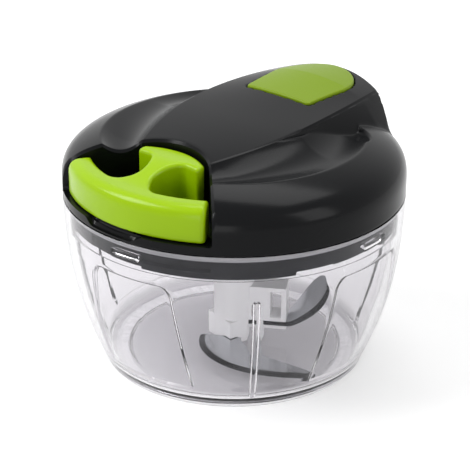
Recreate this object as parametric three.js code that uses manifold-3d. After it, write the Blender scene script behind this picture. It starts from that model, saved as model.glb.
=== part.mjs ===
// A hand food chopper worked by a pull cord: clear bowl, three-blade unit on a steel pin, and a twist-on lid
// that holds the cord spool, its return spring and the one-way drive. Millimetres, +Z up. The origin is the
// middle of the bowl's foot, and the pull handle leaves the lid towards -Y.
import * as THREE from "three";
import { mergeVertices } from "three/addons/utils/BufferGeometryUtils.js";
import Module from "manifold-3d";

// Fits that the whole object shares
const clearance = 0.3; // between pieces that touch, seat or run on each other
const overrun = 6; // how far a cutting body passes what it cuts
const weld = 0.001; // corners closer than this are one corner

// Bowl
const rimRadius = 65;
const bowlHeight = 67.6;
const baseRadius = 50.5;
const bowlWall = 2.2;
const bowlFloor = 2.2;
const footHeight = 1.2;
const footInset = 8.5; // the foot ring's width, in from the base's edge
const baseRound = 1.5;
const floorFillet = 6;
const ledgeBelowRim = 10; // where the wall steps in under the lid's skirt
const ledgeDepth = 1;
const swellShare = 2.29; // power of the bowl's side curve
const bossRadius = 4.6;
const bossHeight = 7.2;
const lugHeight = 2.3;
const lugReach = 2.3; // how far a bayonet lug stands in from the wall
const lugDrop = 4.5; // from the rim down to a lug's top
const lugAngle = 11;
const bowlTurnAngle = 5; // the bowl's pattern, turned from the handle's direction
const lugCount = 4;
const reliefDepth = 0.8;
const reliefBottom = 9;
const reliefTop = 53;
const reliefTopAngle = 16;
const reliefBaseAngle = 21;
const reliefEndShare = 0.8; // the pads' rounded upper end
const ribTop = 49;
const ribWidth = 2.4;

// Steel pin and blade unit
const pinRadius = 2;
const pinLength = 17;
const pinSeat = 0.8; // the pin's lower end below the bowl's floor
const shaftRadius = 8;
const shaftWall = 2.4;
const shaftLift = 1.2; // the shaft's lower end above the bowl's floor
const spigotRadius = 6;
const dogReach = 2.4;
const dogAngle = 25;
const dogCount = 3;
const dogInset = 1; // hub dogs start this far inside the socket's mouth
const bladeThickness = 0.9;
const bladeTipGap = 2.5; // from the lower blade's tip to the bowl's wall
const bladeRootRadius = 8.4;
const bladeWidth = 16.4;
const bladeSweepAngle = 77;
const bladeCurlShare = 0.66; // how much of the sweep is done near the root
const bladeTaperShare = 0.66; // of the root's width that is gone at the tip
const bladeRootAngle = 4;
const bevelWidth = 2.2;
const wingRadius = 36.5;
const wingRise = 14; // how far the tip of a raised blade stands above its root
const wingWidth = 11;
const wingTaperShare = 0.55;
const wingTwistShare = 0.5; // slope across the blade at its tip
const wingSweepAngle = 14;
const middleBladeGap = 7.4; // from the shaft's lower end to the middle blade
const upperBladeGap = 29;
const clampWidth = 14.6;
const clampHeight = 9.4;
const clampFoot = 1.2;
const clampTurnAngle = -11;
const bracketReach = 21;
const bracketWidth = 9;
const bracketHeight = 15.5;
const bracketSole = 1.6;
const bracketWindow = 4.4;

// Lid: cover, with its ridge, scoops and handle recess
const coverWall = 2.2;
const shoulderHeight = 4.6; // straight side above the cover's lower edge
const crownHeight = 24.3; // nominal crown of the dome above the shoulder
const domePlanShare = 1.2; // the two powers of the dome's curve
const domeRiseShare = 3.39;
const cavityHeight = 17.5; // flat ceiling of the hollow above the cover's lower edge
const scoopInset = 15; // from the rim in to the outer edge of the two side scoops
const scoopDip = 3;
const scoopLeanShare = 0.4; // how much deeper the dish is on its inner side than on its outer
const scoopFrontInset = 22; // from the rim in to the scoops' front ends
const scoopRearY = 36;
const scoopCloseY = 18; // where the scoop's outer edge starts to close in
const scoopFallY = 4; // where the ridge starts to stand clear of the scoops
const scoopFallShare = 0.24; // how fast it rises out of them
const ridgeHeight = 26.8; // crease of the ridge at the axis, above the cover's lower edge
const ridgeSlopeShare = 0.1;
const ridgeBend = 780; // length whose inverse bends the ridge down at both ends
const ridgeRoom = 6.7; // half width at the ridge's widest place, beyond the spring case
const ridgeWidestY = 12;
const ridgeFrontTaper = 178; // length whose inverse narrows the ridge forwards
const ridgeRearTaper = 370; // the same rearwards
const ridgeFrontInset = 23;
const ridgeCrown = 0.6;
const ridgeRearCrown = 3.8;
const ridgeRearInset = 3; // from the rim in to the ridge's rear wall
const ridgeRearLean = 0.5;
const ridgeDraftY = 45; // where the crown and the side draft are complete
const ridgeFoot = 12; // height of the ridge's hidden lower edge above the cover's
const ridgeWall = 2.4;
const ridgeDraftShare = 0.8; // side run for each unit of height, at the rear
const recessHalf = 18.5;
const recessRoom = 2.7; // between the spring case and the recess's back wall
const recessArch = 7; // rise of the recess's back arch over its width
const recessMouthAngle = 36;
const recessFloor = 3.3; // lip and floor above the cover's lower edge
const tubWall = 2;
const dipAngle = 11;
const dipDepth = 2.6;
const pocketDepth = 1.2;
const plateHalf = 17.6; // half its round rear
const plateFrontHalf = 16;
const plateLength = 36.5;
const plateInset = 1.5; // from the ridge's rear wall in to the plate
const plateProud = 0.6;

// Lid: base, skirt, seal and screws
const basePlate = 2.2;
const skirtGap = 1.2; // between the skirt and the bowl's wall
const skirtWall = 3.4;
const skirtDrop = 9.7; // skirt's lower edge below the bowl's rim
const grooveDepth = 1.5;
const entryLead = 17; // angle that the entry groove leads its lug by
const lockAngle = 24;
const mouthAngle = 15;
const mouthHeight = 3;
const sealHeight = 1.4;
const sealWall = 2;
const screwInset = 18; // from the rim in to the screws
const screwAngles = [-142, -78, 78, 142];
const screwRadius = 1.4;
const screwHead = 3;
const screwHeadHeight = 1.6;
const screwGrip = 9;
const screwBoss = 3.8;
const collarWall = 2.6;
const collarDrop = 5;

// Drive: hub, bush, pawls, spool, spring, axle
const hubRadius = 11;
const hubWall = 2.2;
const hubDrop = 10; // the socket's mouth below the bowl's rim
const hubWeb = 2.7;
const bushWall = 1.6;
const bushFlange = 2.6;
const bushFlangeHeight = 0.9;
const cupRadius = 19.6;
const cupFloor = 1.6;
const cupDepth = 3.6;
const ratchetRoot = 18;
const ratchetTip = 16.2;
const ratchetCount = 12;
const pawlOrbit = 9.4;
const pawlEye = 2.9;
const pawlPin = 1.3;
const pawlReachAngle = 32;
const pawlStartAngle = 5; // from a tooth's tip to the pawl's, behind the steep face
const pawlTipRadius = 17.1;
const spoolInset = 0.9; // from the spring case's side in to the spool's flanges
const spoolDrum = 13;
const flangeHeight = 1.5;
const drumHeight = 5;
const arborRadius = 5;
const axleRadius = 2.9;
const axleHold = 3; // length of axle inside the cover's boss
const axleBoss = 6;
const springTurnsShare = 3.6;
const springStrip = 0.55;
const springHeight = 3.6;
const caseRadius = 21.3;
const caseWall = 1.2;
const washerRadius = 5.2;
const washerHeight = 0.8;
const axleScrewHead = 3.6;
const axleScrewHeadHeight = 1.8;
const axleScrewGrip = 10;

// Cord and handle
const cordRadius = 1;
const cordArm = 17; // radius at which the cord leaves the spool
const cordCoil = 2.4; // thickness of the wound cord on the drum
const eyeletRadius = 2.3;
const eyeletFlange = 3.8;
const eyeletWall = 0.8;
const handleGap = 1.2; // between the handle's plate and the recess
const handleLift = 0.4; // handle above the recess floor
const handlePlateTop = 21.2; // above the cover's lower edge
const handlePlateHalf = 15.2;
const handlePlateDepth = 9.5; // from the recess's back to the plate's front
const handleBarTop = 16.7;
const barInset = 1.4; // from the rim in to the bar's outer face
const barWall = 9.3;
const barAngle = 33.5;
const barRound = 1.6;
const stemHalf = 3.8;
const stemFlare = 5.5; // added to each side where the stem meets the plate
const stemBarFlare = 10; // and where it meets the bar
const stemWaistShare = 0.5; // where between plate and bar the stem is narrowest
const stemOverlap = 1.5; // how far the stem runs into the plate and the bar
const knotRadius = 2.6;
const knotInset = 4.6; // from the plate's rear face to the knot's middle

// Facets round a circle, by how large the circle is
const coarse = 10;
const medium = 18;
const fine = 28;
const finest = 44;
const rad = Math.PI / 180;

// Radii and places that follow the spring case and the rim
const spoolFlange = caseRadius - spoolInset;
const ridgeHalf = caseRadius + ridgeRoom;
const recessBackY = -(caseRadius + recessRoom + tubWall);
const handlePlateFront = recessBackY - handlePlateDepth;
const scoopRadius = rimRadius - scoopInset;
const scoopFrontY = scoopFrontInset - rimRadius;
const ridgeFrontY = ridgeFrontInset - rimRadius;
const ridgeRearRadius = rimRadius - ridgeRearInset;
const ridgeRearY = ridgeRearRadius + coverWall;
const plateRearY = ridgeRearRadius - plateInset;
const plateFrontY = plateRearY - plateLength;
const skirtRadius = rimRadius - bowlWall - skirtGap;
const screwCircle = rimRadius - screwInset;
const barRadius = rimRadius - barInset;
const barInner = barRadius - barWall;

// Heights that follow from the sizes above
const floorTop = footHeight + bowlFloor;
const bossTop = floorTop + bossHeight;
const pinBottom = floorTop - pinSeat;
const pinTop = pinBottom + pinLength;
const coverBottom = bowlHeight + clearance;
const coverShoulder = coverBottom + shoulderHeight;
const coverCrown = coverShoulder + crownHeight;
const cutTop = coverCrown + 2 * overrun;
const lipTop = coverBottom + recessFloor;
const plateTopZ = lipTop - tubWall - clearance;
const plateBottomZ = plateTopZ - basePlate;
const skirtBottom = bowlHeight - skirtDrop;
const skirtInner = skirtRadius - skirtWall;
const lugTop = bowlHeight - lugDrop;
const lugBottom = lugTop - lugHeight;
const shaftBottom = floorTop + shaftLift;
const bladeRadius = bowlInner(shaftBottom) - bladeTipGap;
const hubBottom = bowlHeight - hubDrop;
const hubSocket = hubRadius - hubWall;
const bushFlangeTop = plateTopZ + clearance + bushFlangeHeight;
const cupBottom = bushFlangeTop + clearance;
const hubCeiling = cupBottom - hubWeb;
const cupTop = cupBottom + cupFloor + cupDepth;
const spoolBottom = cupTop + clearance;
const drumBottom = spoolBottom + flangeHeight;
const drumTop = drumBottom + drumHeight;
const spoolTop = drumTop + flangeHeight;
const cordZ = drumBottom + drumHeight / 2;
const caseBottom = spoolTop + clearance;
const springBottom = caseBottom + clearance;
const springTop = springBottom + springHeight;
const caseTop = springTop + clearance + caseWall;
const axleTop = caseTop + clearance + axleHold;
const washerTop = hubCeiling - clearance;
const axleHeadTop = washerTop - washerHeight - clearance;
const spigotTop = axleHeadTop - axleScrewHeadHeight - clearance;
const spigotBottom = hubBottom - clearance;
const handleBottom = lipTop + handleLift;
const knotY = recessBackY - handleGap - knotInset;
const eyeletRearY = recessBackY + tubWall + clearance + eyeletWall;
const sealTop = plateBottomZ - clearance;
const sealBottom = sealTop - sealHeight;
const sealOuter = rimRadius - bowlWall - clearance;
const sealInner = sealOuter - sealWall;
const bushInner = hubRadius + clearance;
const bushOuter = bushInner + bushWall;
const archRadius = (recessHalf ** 2 + recessArch ** 2) / (2 * recessArch);
const archCentreY = recessBackY - archRadius;

const wasm = await Module();
wasm.setup();

// The closed geometry as a body that can be joined and cut, turned right side out.
function solid(geometry) {
  const bare = new THREE.BufferGeometry();
  bare.setAttribute("position", geometry.getAttribute("position").clone());
  if (geometry.index) bare.setIndex(geometry.index.clone());
  const welded = mergeVertices(bare, weld);
  const index = welded.index.array;
  const corners = [];
  for (let i = 0; i < index.length; i += 3) {
    const [a, b, c] = index.slice(i, i + 3);
    if (a !== b && b !== c && c !== a) corners.push([a, b, c]);
  }
  const made = (triangles) =>
    new wasm.Manifold(
      new wasm.Mesh({
        numProp: 3,
        vertProperties: new Float32Array(welded.getAttribute("position").array),
        triVerts: new Uint32Array(triangles.flat()),
      }),
    );
  const body = made(corners);
  return body.volume() < 0 ? made(corners.map(([a, b, c]) => [a, c, b])) : body;
}

function join(...bodies) {
  return bodies.reduce((sum, body) => sum.add(body));
}

function cut(body, ...cutters) {
  return cutters.reduce((rest, cutter) => rest.subtract(cutter), body);
}

// A profile of [radius, height] pairs turned round the Z axis. A ring's profile is closed by repeating its
// start.
function revolve(profile, facets) {
  const points = profile.map(([radius, height]) => new THREE.Vector2(radius, height));
  return new THREE.LatheGeometry(points, facets).rotateX(Math.PI / 2);
}

function disc(radius, bottom, top, facets = fine) {
  return solid(
    revolve(
      [
        [0, bottom],
        [radius, bottom],
        [radius, top],
        [0, top],
      ],
      facets,
    ),
  );
}

function ring(inner, outer, bottom, top, facets = fine) {
  return solid(
    revolve(
      [
        [inner, bottom],
        [outer, bottom],
        [outer, top],
        [inner, top],
        [inner, bottom],
      ],
      facets,
    ),
  );
}

// A flat outline of [x, y] pairs made into a slab between two heights.
function slab(outline, bottom, top) {
  const shape = new THREE.Shape(outline.map(([x, y]) => new THREE.Vector2(x, y)));
  const geometry = new THREE.ExtrudeGeometry(shape, { depth: top - bottom, bevelEnabled: false });
  return solid(geometry.translate(0, 0, bottom));
}

// A post of the given radius at a place in plan.
function post([x, y], radius, bottom, top, facets = coarse) {
  const geometry = new THREE.CylinderGeometry(radius, radius, top - bottom, facets);
  return solid(geometry.rotateX(Math.PI / 2).translate(x, y, (bottom + top) / 2));
}

// A block between two corners, then turned round the Z axis.
function block([x0, y0, z0], [x1, y1, z1], angle = 0) {
  const geometry = new THREE.BoxGeometry(x1 - x0, y1 - y0, z1 - z0);
  geometry.translate((x0 + x1) / 2, (y0 + y1) / 2, (z0 + z1) / 2);
  return solid(geometry.rotateZ(angle * rad));
}

// A round bar along Y at a place in X and Z.
function barAlongY(x, z, radius, from, to, facets = coarse) {
  const geometry = new THREE.CylinderGeometry(radius, radius, to - from, facets);
  return solid(geometry.translate(x, (from + to) / 2, z));
}

// One closed body through equal loops of [x, y, z] points, closed at both ends from the middle of the end
// loop.
function loft(loops) {
  const size = loops[0].length;
  const points = loops.flat();
  const corners = [];
  for (let row = 0; row + 1 < loops.length; row++) {
    for (let i = 0; i < size; i++) {
      const a = row * size + i;
      const b = row * size + ((i + 1) % size);
      corners.push(a, b, b + size, a, b + size, a + size);
    }
  }
  const capEnd = (row, turned) => {
    const middle = points.length;
    const loop = loops[row];
    points.push([0, 1, 2].map((axis) => loop.reduce((sum, point) => sum + point[axis], 0) / size));
    for (let i = 0; i < size; i++) {
      const a = row * size + i;
      const b = row * size + ((i + 1) % size);
      corners.push(...(turned ? [middle, b, a] : [middle, a, b]));
    }
  };
  capEnd(0, true);
  capEnd(loops.length - 1, false);
  const geometry = new THREE.BufferGeometry();
  geometry.setAttribute("position", new THREE.Float32BufferAttribute(points.flat(), 3));
  geometry.setIndex(corners);
  return solid(geometry);
}

// A wall section of [radius, height] pairs carried round the axis between two angles. Angle 0 is -Y, and
// angles grow towards +X.
function sweep(profile, from, to, steps) {
  const loops = [];
  for (let i = 0; i <= steps; i++) {
    const angle = (from + ((to - from) * i) / steps) * rad;
    loops.push(profile.map(([r, z]) => [r * Math.sin(angle), -r * Math.cos(angle), z]));
  }
  return loft(loops);
}

function wallSection(inner, outer, bottom, top) {
  return [
    [inner, bottom],
    [outer, bottom],
    [outer, top],
    [inner, top],
  ];
}

// A place in plan from a radius and an angle that starts at -Y and grows towards +X.
function polar(radius, angle) {
  return [radius * Math.sin(angle * rad), -radius * Math.cos(angle * rad)];
}

// An outline of [x, y] pairs with each corner moved out by the distance.
function grown(outline, distance) {
  const count = outline.length;
  const area = outline.reduce((sum, [x, y], i) => {
    const [nx, ny] = outline[(i + 1) % count];
    return sum + x * ny - nx * y;
  }, 0);
  const side = Math.sign(area);
  return outline.map(([x, y], i) => {
    const [px, py] = outline[(i + count - 1) % count];
    const [nx, ny] = outline[(i + 1) % count];
    const before = Math.hypot(x - px, y - py);
    const after = Math.hypot(nx - x, ny - y);
    const outX = side * ((y - py) / before + (ny - y) / after);
    const outY = -side * ((x - px) / before + (nx - x) / after);
    const scale = (2 * distance) / (outX * outX + outY * outY);
    return [x + outX * scale, y + outY * scale];
  });
}

// The numbers from start to end in equal steps.
function steps(start, end, count) {
  return Array.from({ length: count + 1 }, (_, i) => start + ((end - start) * i) / count);
}

// Bowl

function bowlOuter(height) {
  return baseRadius + (rimRadius - baseRadius) * (1 - (1 - height / bowlHeight) ** swellShare);
}

function bowlInner(height) {
  return bowlOuter(height) - bowlWall - (height < bowlHeight - ledgeBelowRim ? ledgeDepth : 0);
}

// A pad on the inside of the wall, from one height to another, whose half angle runs from base to top.
function wallPad(middle, baseHalf, topHalf, bottom, top, depth) {
  const rows = steps(bottom, top, 6).map((height, row, all) => {
    const share = row / (all.length - 1);
    const rounded = row === all.length - 1 ? reliefEndShare : 1;
    return { height, half: (baseHalf + (topHalf - baseHalf) * share) * rounded };
  });
  return loft(
    rows.map(({ height, half }) => {
      const angles = steps(middle - half, middle + half, 4);
      const buried = angles.map((angle) => [...polar(bowlInner(height) + bowlWall / 2, angle), height]);
      const face = angles.map((angle) => [...polar(bowlInner(height) - depth, angle), height]);
      return [...buried, ...face.reverse()];
    }),
  );
}

function makeBowl() {
  const ledge = bowlHeight - ledgeBelowRim;
  const side = steps(baseRound, bowlHeight, 8).map((height) => [bowlOuter(height), height]);
  const filletTop = floorTop + floorFillet;
  const inside = steps(ledge - clearance, filletTop, 6).map((height) => [bowlInner(height), height]);
  const filletCentre = bowlInner(filletTop) - floorFillet;
  const fillet = steps(0, Math.PI / 2, 3).map((angle) => [
    filletCentre + floorFillet * Math.cos(angle),
    filletTop - floorFillet * Math.sin(angle),
  ]);
  const wall = solid(
    revolve(
      [
        [0, footHeight],
        [baseRadius - footInset - footHeight, footHeight],
        [baseRadius - footInset, 0],
        [baseRadius - baseRound, 0],
        ...side,
        [bowlInner(bowlHeight), bowlHeight],
        [bowlInner(ledge), ledge],
        ...inside,
        ...fillet.slice(1),
        [bossRadius + pinSeat, floorTop],
        [bossRadius, bossTop],
        [0, bossTop],
      ],
      finest,
    ),
  );
  const parts = [wall];
  const ribHalf = ribWidth / 2 / baseRadius / rad;
  for (let i = 0; i < lugCount; i++) {
    const middle = bowlTurnAngle + (i * 360) / lugCount;
    const lugInner = bowlInner(bowlHeight) - lugReach;
    const section = wallSection(lugInner, bowlInner(lugTop) + bowlWall / 2, lugBottom, lugTop);
    parts.push(sweep(section, middle - lugAngle / 2, middle + lugAngle / 2, 3));
    parts.push(wallPad(middle, reliefBaseAngle, reliefTopAngle, reliefBottom, reliefTop, reliefDepth));
    parts.push(wallPad(middle + 180 / lugCount, ribHalf, ribHalf, filletTop, ribTop, reliefDepth));
  }
  const pinHole = disc(pinRadius + clearance, pinBottom - clearance, bossTop + overrun, coarse);
  return cut(join(...parts), pinHole);
}

function makePivotPin() {
  return solid(
    revolve(
      [
        [0, pinBottom],
        [pinRadius, pinBottom],
        [pinRadius, pinTop - pinRadius / 2],
        [pinRadius / 2, pinTop],
        [0, pinTop],
      ],
      coarse,
    ),
  );
}

// Blade unit

// Each blade's root direction in plan and the height of its underside; the two raised ones are alike.
const unplaced = { angle: 0, bottom: 0 };
const lowerBlade = { angle: bladeRootAngle, bottom: shaftBottom + clampFoot + clearance };
const middleBlade = { angle: bladeRootAngle + 120, bottom: shaftBottom + middleBladeGap };
const upperBlade = { angle: bladeRootAngle + 240, bottom: shaftBottom + upperBladeGap };

// A strip of steel along a line in plan, bevelled on the side that leads when the unit turns clockwise.
// Each row gives its share of the way out, half width, lift above the root and slope across. The room
// around it is the space that a moulding keeps clear for it.
function bladeStrip(line, rows, room = 0, { angle, bottom } = unplaced) {
  const probe = 0.02;
  const [c, s] = [Math.cos(angle * rad), Math.sin(angle * rad)];
  return loft(
    rows.map(({ share, half, lift, tilt }) => {
      const [x, y] = line(share);
      const [ax, ay] = line(share - probe);
      const [bx, by] = line(share + probe);
      const length = Math.hypot(bx - ax, by - ay);
      const [tx, ty] = [(bx - ax) / length, (by - ay) / length];
      const across = (offset, up) => {
        const [px, py] = [x + ty * offset, y - tx * offset];
        return [px * c - py * s, px * s + py * c, bottom + lift + up - tilt * offset];
      };
      return [
        across(half + room, -room),
        across(half + room, bladeThickness / 4 + room),
        across(half - bevelWidth + room, bladeThickness + room),
        across(-half - room, bladeThickness + room),
        across(-half - room, -room),
      ];
    }),
  );
}

// The long lower sickle: flat, and swept back against the turn.
function makeLowerBlade(room = 0, place = unplaced) {
  const reach = bladeRadius - bladeRootRadius;
  const line = (share) =>
    polar(
      bladeRootRadius + reach * share,
      bladeSweepAngle * ((1 + bladeCurlShare) * share - bladeCurlShare * share ** 2),
    );
  const rows = steps(0, 1, 12).map((share) => ({
    share,
    half: (bladeWidth / 2) * (1 - bladeTaperShare * share ** 2.5),
    lift: 0,
    tilt: 0,
  }));
  const lead = room / reach;
  return bladeStrip(line, room ? [{ ...rows[0], share: -lead }, ...rows] : rows, room, place);
}

// A raised blade: a flat root that stands out straight, then a wing bent up to a narrowing tip.
function makeRaisedBlade() {
  const reach = wingRadius - bladeRootRadius;
  const bend = (bracketReach + 2 * clearance - bladeRootRadius) / reach;
  const line = (share) => polar(bladeRootRadius + reach * share, wingSweepAngle * Math.max(0, share - bend));
  const rows = [...steps(0, bend, 2), ...steps(bend, 1, 7).slice(1)].map((share) => {
    const out = Math.max(0, (share - bend) / (1 - bend));
    const half = (wingWidth / 2) * (1 - wingTaperShare * out ** 3);
    return { share, half, lift: wingRise * out ** 1.15, tilt: -wingTwistShare * out };
  });
  return bladeStrip(line, rows);
}

// The arm that carries a raised blade: a standing frame with a slot for the blade's root and an open window.
function bracketBodies({ angle, bottom }) {
  const half = bracketWidth / 2;
  const far = -bracketReach;
  const low = bottom - clearance - bracketSole;
  const blade = bottom + bladeThickness + clearance;
  const windowFar = far + bracketSole + clearance;
  const reach = half + overrun;
  return {
    arm: block([-half, far, low], [half, shaftWall - shaftRadius, bottom + bracketHeight], angle),
    slot: block(
      [-reach, far - overrun, bottom - clearance],
      [reach, clearance - bladeRootRadius, blade],
      angle,
    ),
    window: block(
      [-reach, windowFar, blade + bracketSole],
      [reach, windowFar + bracketWindow, bottom + bracketHeight - bracketSole],
      angle,
    ),
  };
}

// The three dogs of a coupling, on the shaft's spigot or in the hub's socket.
function makeDogs(inner, outer, bottom, top, start) {
  const section = wallSection(inner, outer, bottom, top);
  return steps(0, dogCount - 1, dogCount - 1).map((i) => {
    const middle = start + (i * 360) / dogCount;
    return sweep(section, middle - dogAngle / 2, middle + dogAngle / 2, 3);
  });
}

function makeBladeShaft() {
  const bore = bossRadius + pinSeat + clearance;
  const pinBore = pinRadius + clearance;
  const hollow = shaftRadius - shaftWall;
  const floor = pinTop + clearance + shaftWall;
  const barrel = solid(
    revolve(
      [
        [0, shaftBottom],
        [shaftRadius, shaftBottom],
        [shaftRadius, spigotBottom],
        [spigotRadius, spigotBottom],
        [spigotRadius, spigotTop],
        [spigotRadius - shaftWall, spigotTop],
        [spigotRadius - shaftWall, spigotBottom - shaftWall],
        [hollow, spigotBottom - 2 * shaftWall],
        [hollow, floor],
        [0, floor],
      ],
      medium,
    ),
  );
  const dogs = makeDogs(
    spigotRadius - shaftWall / 2,
    spigotRadius + dogReach,
    hubBottom + clearance,
    spigotTop - clearance,
    180 / dogCount,
  );
  const half = clampWidth / 2;
  const clamp = block([-half, -half, shaftBottom], [half, half, shaftBottom + clampHeight], clampTurnAngle);
  const brackets = [middleBlade, upperBlade].map(bracketBodies);
  const bladeRoom = makeLowerBlade(clearance, lowerBlade);
  return cut(
    join(barrel, ...dogs, clamp, ...brackets.map(({ arm }) => arm)),
    disc(bore, shaftBottom - overrun, bossTop + clearance, medium),
    disc(pinBore, shaftBottom, pinTop + clearance, medium),
    bladeRoom,
    ...brackets.flatMap(({ slot, window }) => [slot, window]),
  );
}

// Cover

function domeHeight(radius) {
  return coverShoulder + crownHeight * (1 - (radius / rimRadius) ** domePlanShare) ** (1 / domeRiseShare);
}

// The straight side and the dome above it as [radius, height] pairs, for the outside or, inset, for the
// hollow.
function domeProfile(inset, ceiling, rows) {
  const reach = rimRadius - inset;
  const crown = crownHeight - inset;
  const ceilingShare = Math.min(1, ((ceiling - coverShoulder) / crown) ** (domeRiseShare / 2));
  const last = Math.asin(ceilingShare);
  return steps(0, last, rows).map((angle) => [
    reach * Math.max(0, Math.cos(angle)) ** (2 / domePlanShare),
    coverShoulder + crown * Math.sin(angle) ** (2 / domeRiseShare),
  ]);
}

function ridgeCrease(y) {
  return coverBottom + ridgeHeight + ridgeSlopeShare * y - y ** 2 / ridgeBend;
}

function ridgeWidth(y) {
  const taper = y < ridgeWidestY ? ridgeFrontTaper : ridgeRearTaper;
  return ridgeHalf - (y - ridgeWidestY) ** 2 / taper;
}

function ridgeTop(x, y) {
  const share = Math.min(1, Math.max(0, y / ridgeDraftY));
  const crown = ridgeCrown + (ridgeRearCrown - ridgeCrown) * share ** 2;
  return ridgeCrease(y) + crown * (1 - (x / ridgeWidth(y)) ** 2);
}

// A body across the ridge at each of the rows, between two heights that may follow the ridge's crowned top.
function ridgeBody(from, to, spread, low, high) {
  const shares = steps(-1, 1, 6);
  return loft(
    steps(from, to, 12).map((y) => {
      const half = ridgeWidth(y) + spread;
      const upper = shares.map((share) => [half * share, y, high(half * share, y)]);
      const lower = shares.map((share) => [half * share, y, low(half * share, y)]);
      return [...lower, ...upper.reverse()];
    }),
  );
}

function makeRidge() {
  const low = coverBottom + ridgeFoot;
  const shares = steps(-1, 1, 6);
  const body = loft(
    steps(ridgeFrontY, ridgeRearY, 16).map((y) => {
      const half = ridgeWidth(y);
      const draft = ridgeDraftShare * Math.min(1, Math.max(0, y / ridgeDraftY));
      const foot = half + draft * (ridgeCrease(y) - low);
      const top = shares.map((share) => [half * share, y, ridgeTop(half * share, y)]);
      return [[-foot, y, low], ...top, [foot, y, low]];
    }),
  );
  const trim = solid(
    revolve(
      [
        [0, low - overrun],
        [ridgeRearRadius, low - overrun],
        [ridgeRearRadius, low],
        [ridgeRearRadius - ridgeRearLean, cutTop],
        [0, cutTop],
      ],
      finest,
    ),
  );
  return body.intersect(trim);
}

// The outer edge of a scoop in plan: an arc that closes in towards the ridge at the rear.
function scoopEdge(y) {
  if (y <= scoopCloseY) return Math.sqrt(scoopRadius ** 2 - y ** 2);
  const widest = Math.sqrt(scoopRadius ** 2 - scoopCloseY ** 2);
  const end = ridgeWidth(scoopRearY);
  const share = (y - scoopCloseY) / (scoopRearY - scoopCloseY);
  return end + (widest - end) * Math.max(0, 1 - share ** 2) ** 0.75;
}

// What is cut from the dome beside the ridge: a shallow dish from the ridge's crease out to the arc.
function makeScoop(side) {
  const shares = steps(0, 1, 5);
  const last = scoopRearY - clearance;
  const rows = [...steps(scoopFrontY, scoopCloseY, 9), ...steps(scoopCloseY, last, 6).slice(1)];
  return loft(
    rows.map((y) => {
      const inner = ridgeWidth(y);
      const outer = scoopEdge(y);
      const innerHeight = ridgeCrease(y) - scoopFallShare * Math.max(0, y - scoopFallY);
      const outerHeight = domeHeight(Math.hypot(outer, y));
      const depth = scoopDip * Math.min(1, (outer - inner) / (scoopRadius - ridgeHalf));
      const dish = shares.map((share) => [
        side * (inner + (outer - inner) * share),
        y,
        innerHeight +
          (outerHeight - innerHeight) * share -
          depth * 4 * share * (1 - share) * (1 + scoopLeanShare * (1 - 2 * share)),
      ]);
      return [...dish, [side * outer, y, cutTop], [side * inner, y, cutTop]];
    }),
  );
}

// The recess for the handle in plan: an arched back, then straight sides that open to the rim.
function recessOutline() {
  const half = Math.asin(recessHalf / archRadius);
  const arch = steps(-half, half, 10).map((angle) => [
    archRadius * Math.sin(angle),
    archCentreY + archRadius * Math.cos(angle),
  ]);
  const [beyondX] = polar(rimRadius + overrun, recessMouthAngle);
  return [
    ...arch,
    polar(rimRadius, recessMouthAngle),
    [beyondX, -rimRadius - overrun],
    [-beyondX, -rimRadius - overrun],
    polar(rimRadius, -recessMouthAngle),
  ];
}

// The top plate in plan: a straight front and a half round rear.
function plateOutline() {
  const centre = plateRearY - plateHalf;
  const round = steps(0, Math.PI, 12).map((angle) => [
    plateHalf * Math.cos(angle),
    centre + plateHalf * Math.sin(angle),
  ]);
  return [[plateFrontHalf, plateFrontY], ...round, [-plateFrontHalf, plateFrontY]];
}

function makeCover() {
  const floor = lipTop - tubWall;
  const shell = solid(
    revolve(
      [[0, coverBottom], [rimRadius, coverBottom], ...domeProfile(0, coverCrown, 9)],
      finest,
    ),
  );
  const clearing = ridgeBody(ridgeFrontY, ridgeRearY, clearance, ridgeTop, () => cutTop);
  const outside = join(cut(shell, clearing, makeScoop(1), makeScoop(-1)), makeRidge());

  const ceiling = coverBottom + cavityHeight;
  const inner = rimRadius - coverWall;
  const hollow = solid(
    revolve(
      [
        [0, coverBottom - overrun],
        [inner, coverBottom - overrun],
        ...domeProfile(coverWall, ceiling, 5),
        [0, ceiling],
      ],
      finest,
    ),
  );
  const ridgeHollow = ridgeBody(
    recessBackY + tubWall,
    ridgeRearRadius - ridgeWall,
    -ridgeWall,
    () => ceiling - ridgeWall,
    (x, y) => ridgeCrease(y) - ridgeWall,
  ).intersect(disc(ridgeRearRadius - ridgeRearLean - ridgeWall, ceiling - overrun, cutTop, finest));

  const recess = recessOutline();
  const tub = slab(grown(recess, tubWall), floor, cutTop).intersect(outside);
  const bosses = screwAngles.map((angle) =>
    post(polar(screwCircle, angle), screwBoss, floor, ceiling + tubWall, medium),
  );
  const axleSeat = post([0, 0], axleBoss, caseTop + clearance, ridgeCrease(0), medium);
  const holes = screwAngles.map((angle) =>
    post(polar(screwCircle, angle), screwRadius + clearance, floor - overrun, floor + screwGrip + clearance),
  );
  const dip = sweep(
    wallSection(inner, rimRadius + overrun, lipTop - dipDepth, lipTop + overrun),
    -dipAngle,
    dipAngle,
    4,
  );
  return cut(
    join(cut(outside, hollow, ridgeHollow), tub, ...bosses, axleSeat),
    slab(recess, lipTop, cutTop),
    dip,
    makePocket(),
    barAlongY(0, cordZ, eyeletRadius + clearance, recessBackY - overrun, recessBackY + overrun),
    post([0, 0], axleRadius + clearance, caseTop, axleTop + clearance),
    ...holes,
  );
}

function makePocket() {
  const outline = slab(grown(plateOutline(), clearance), coverShoulder, cutTop);
  const above = ridgeBody(
    plateFrontY - overrun,
    ridgeRearY,
    clearance,
    (x, y) => ridgeTop(x, y) - pocketDepth,
    () => cutTop,
  );
  return outline.intersect(above);
}

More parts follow.
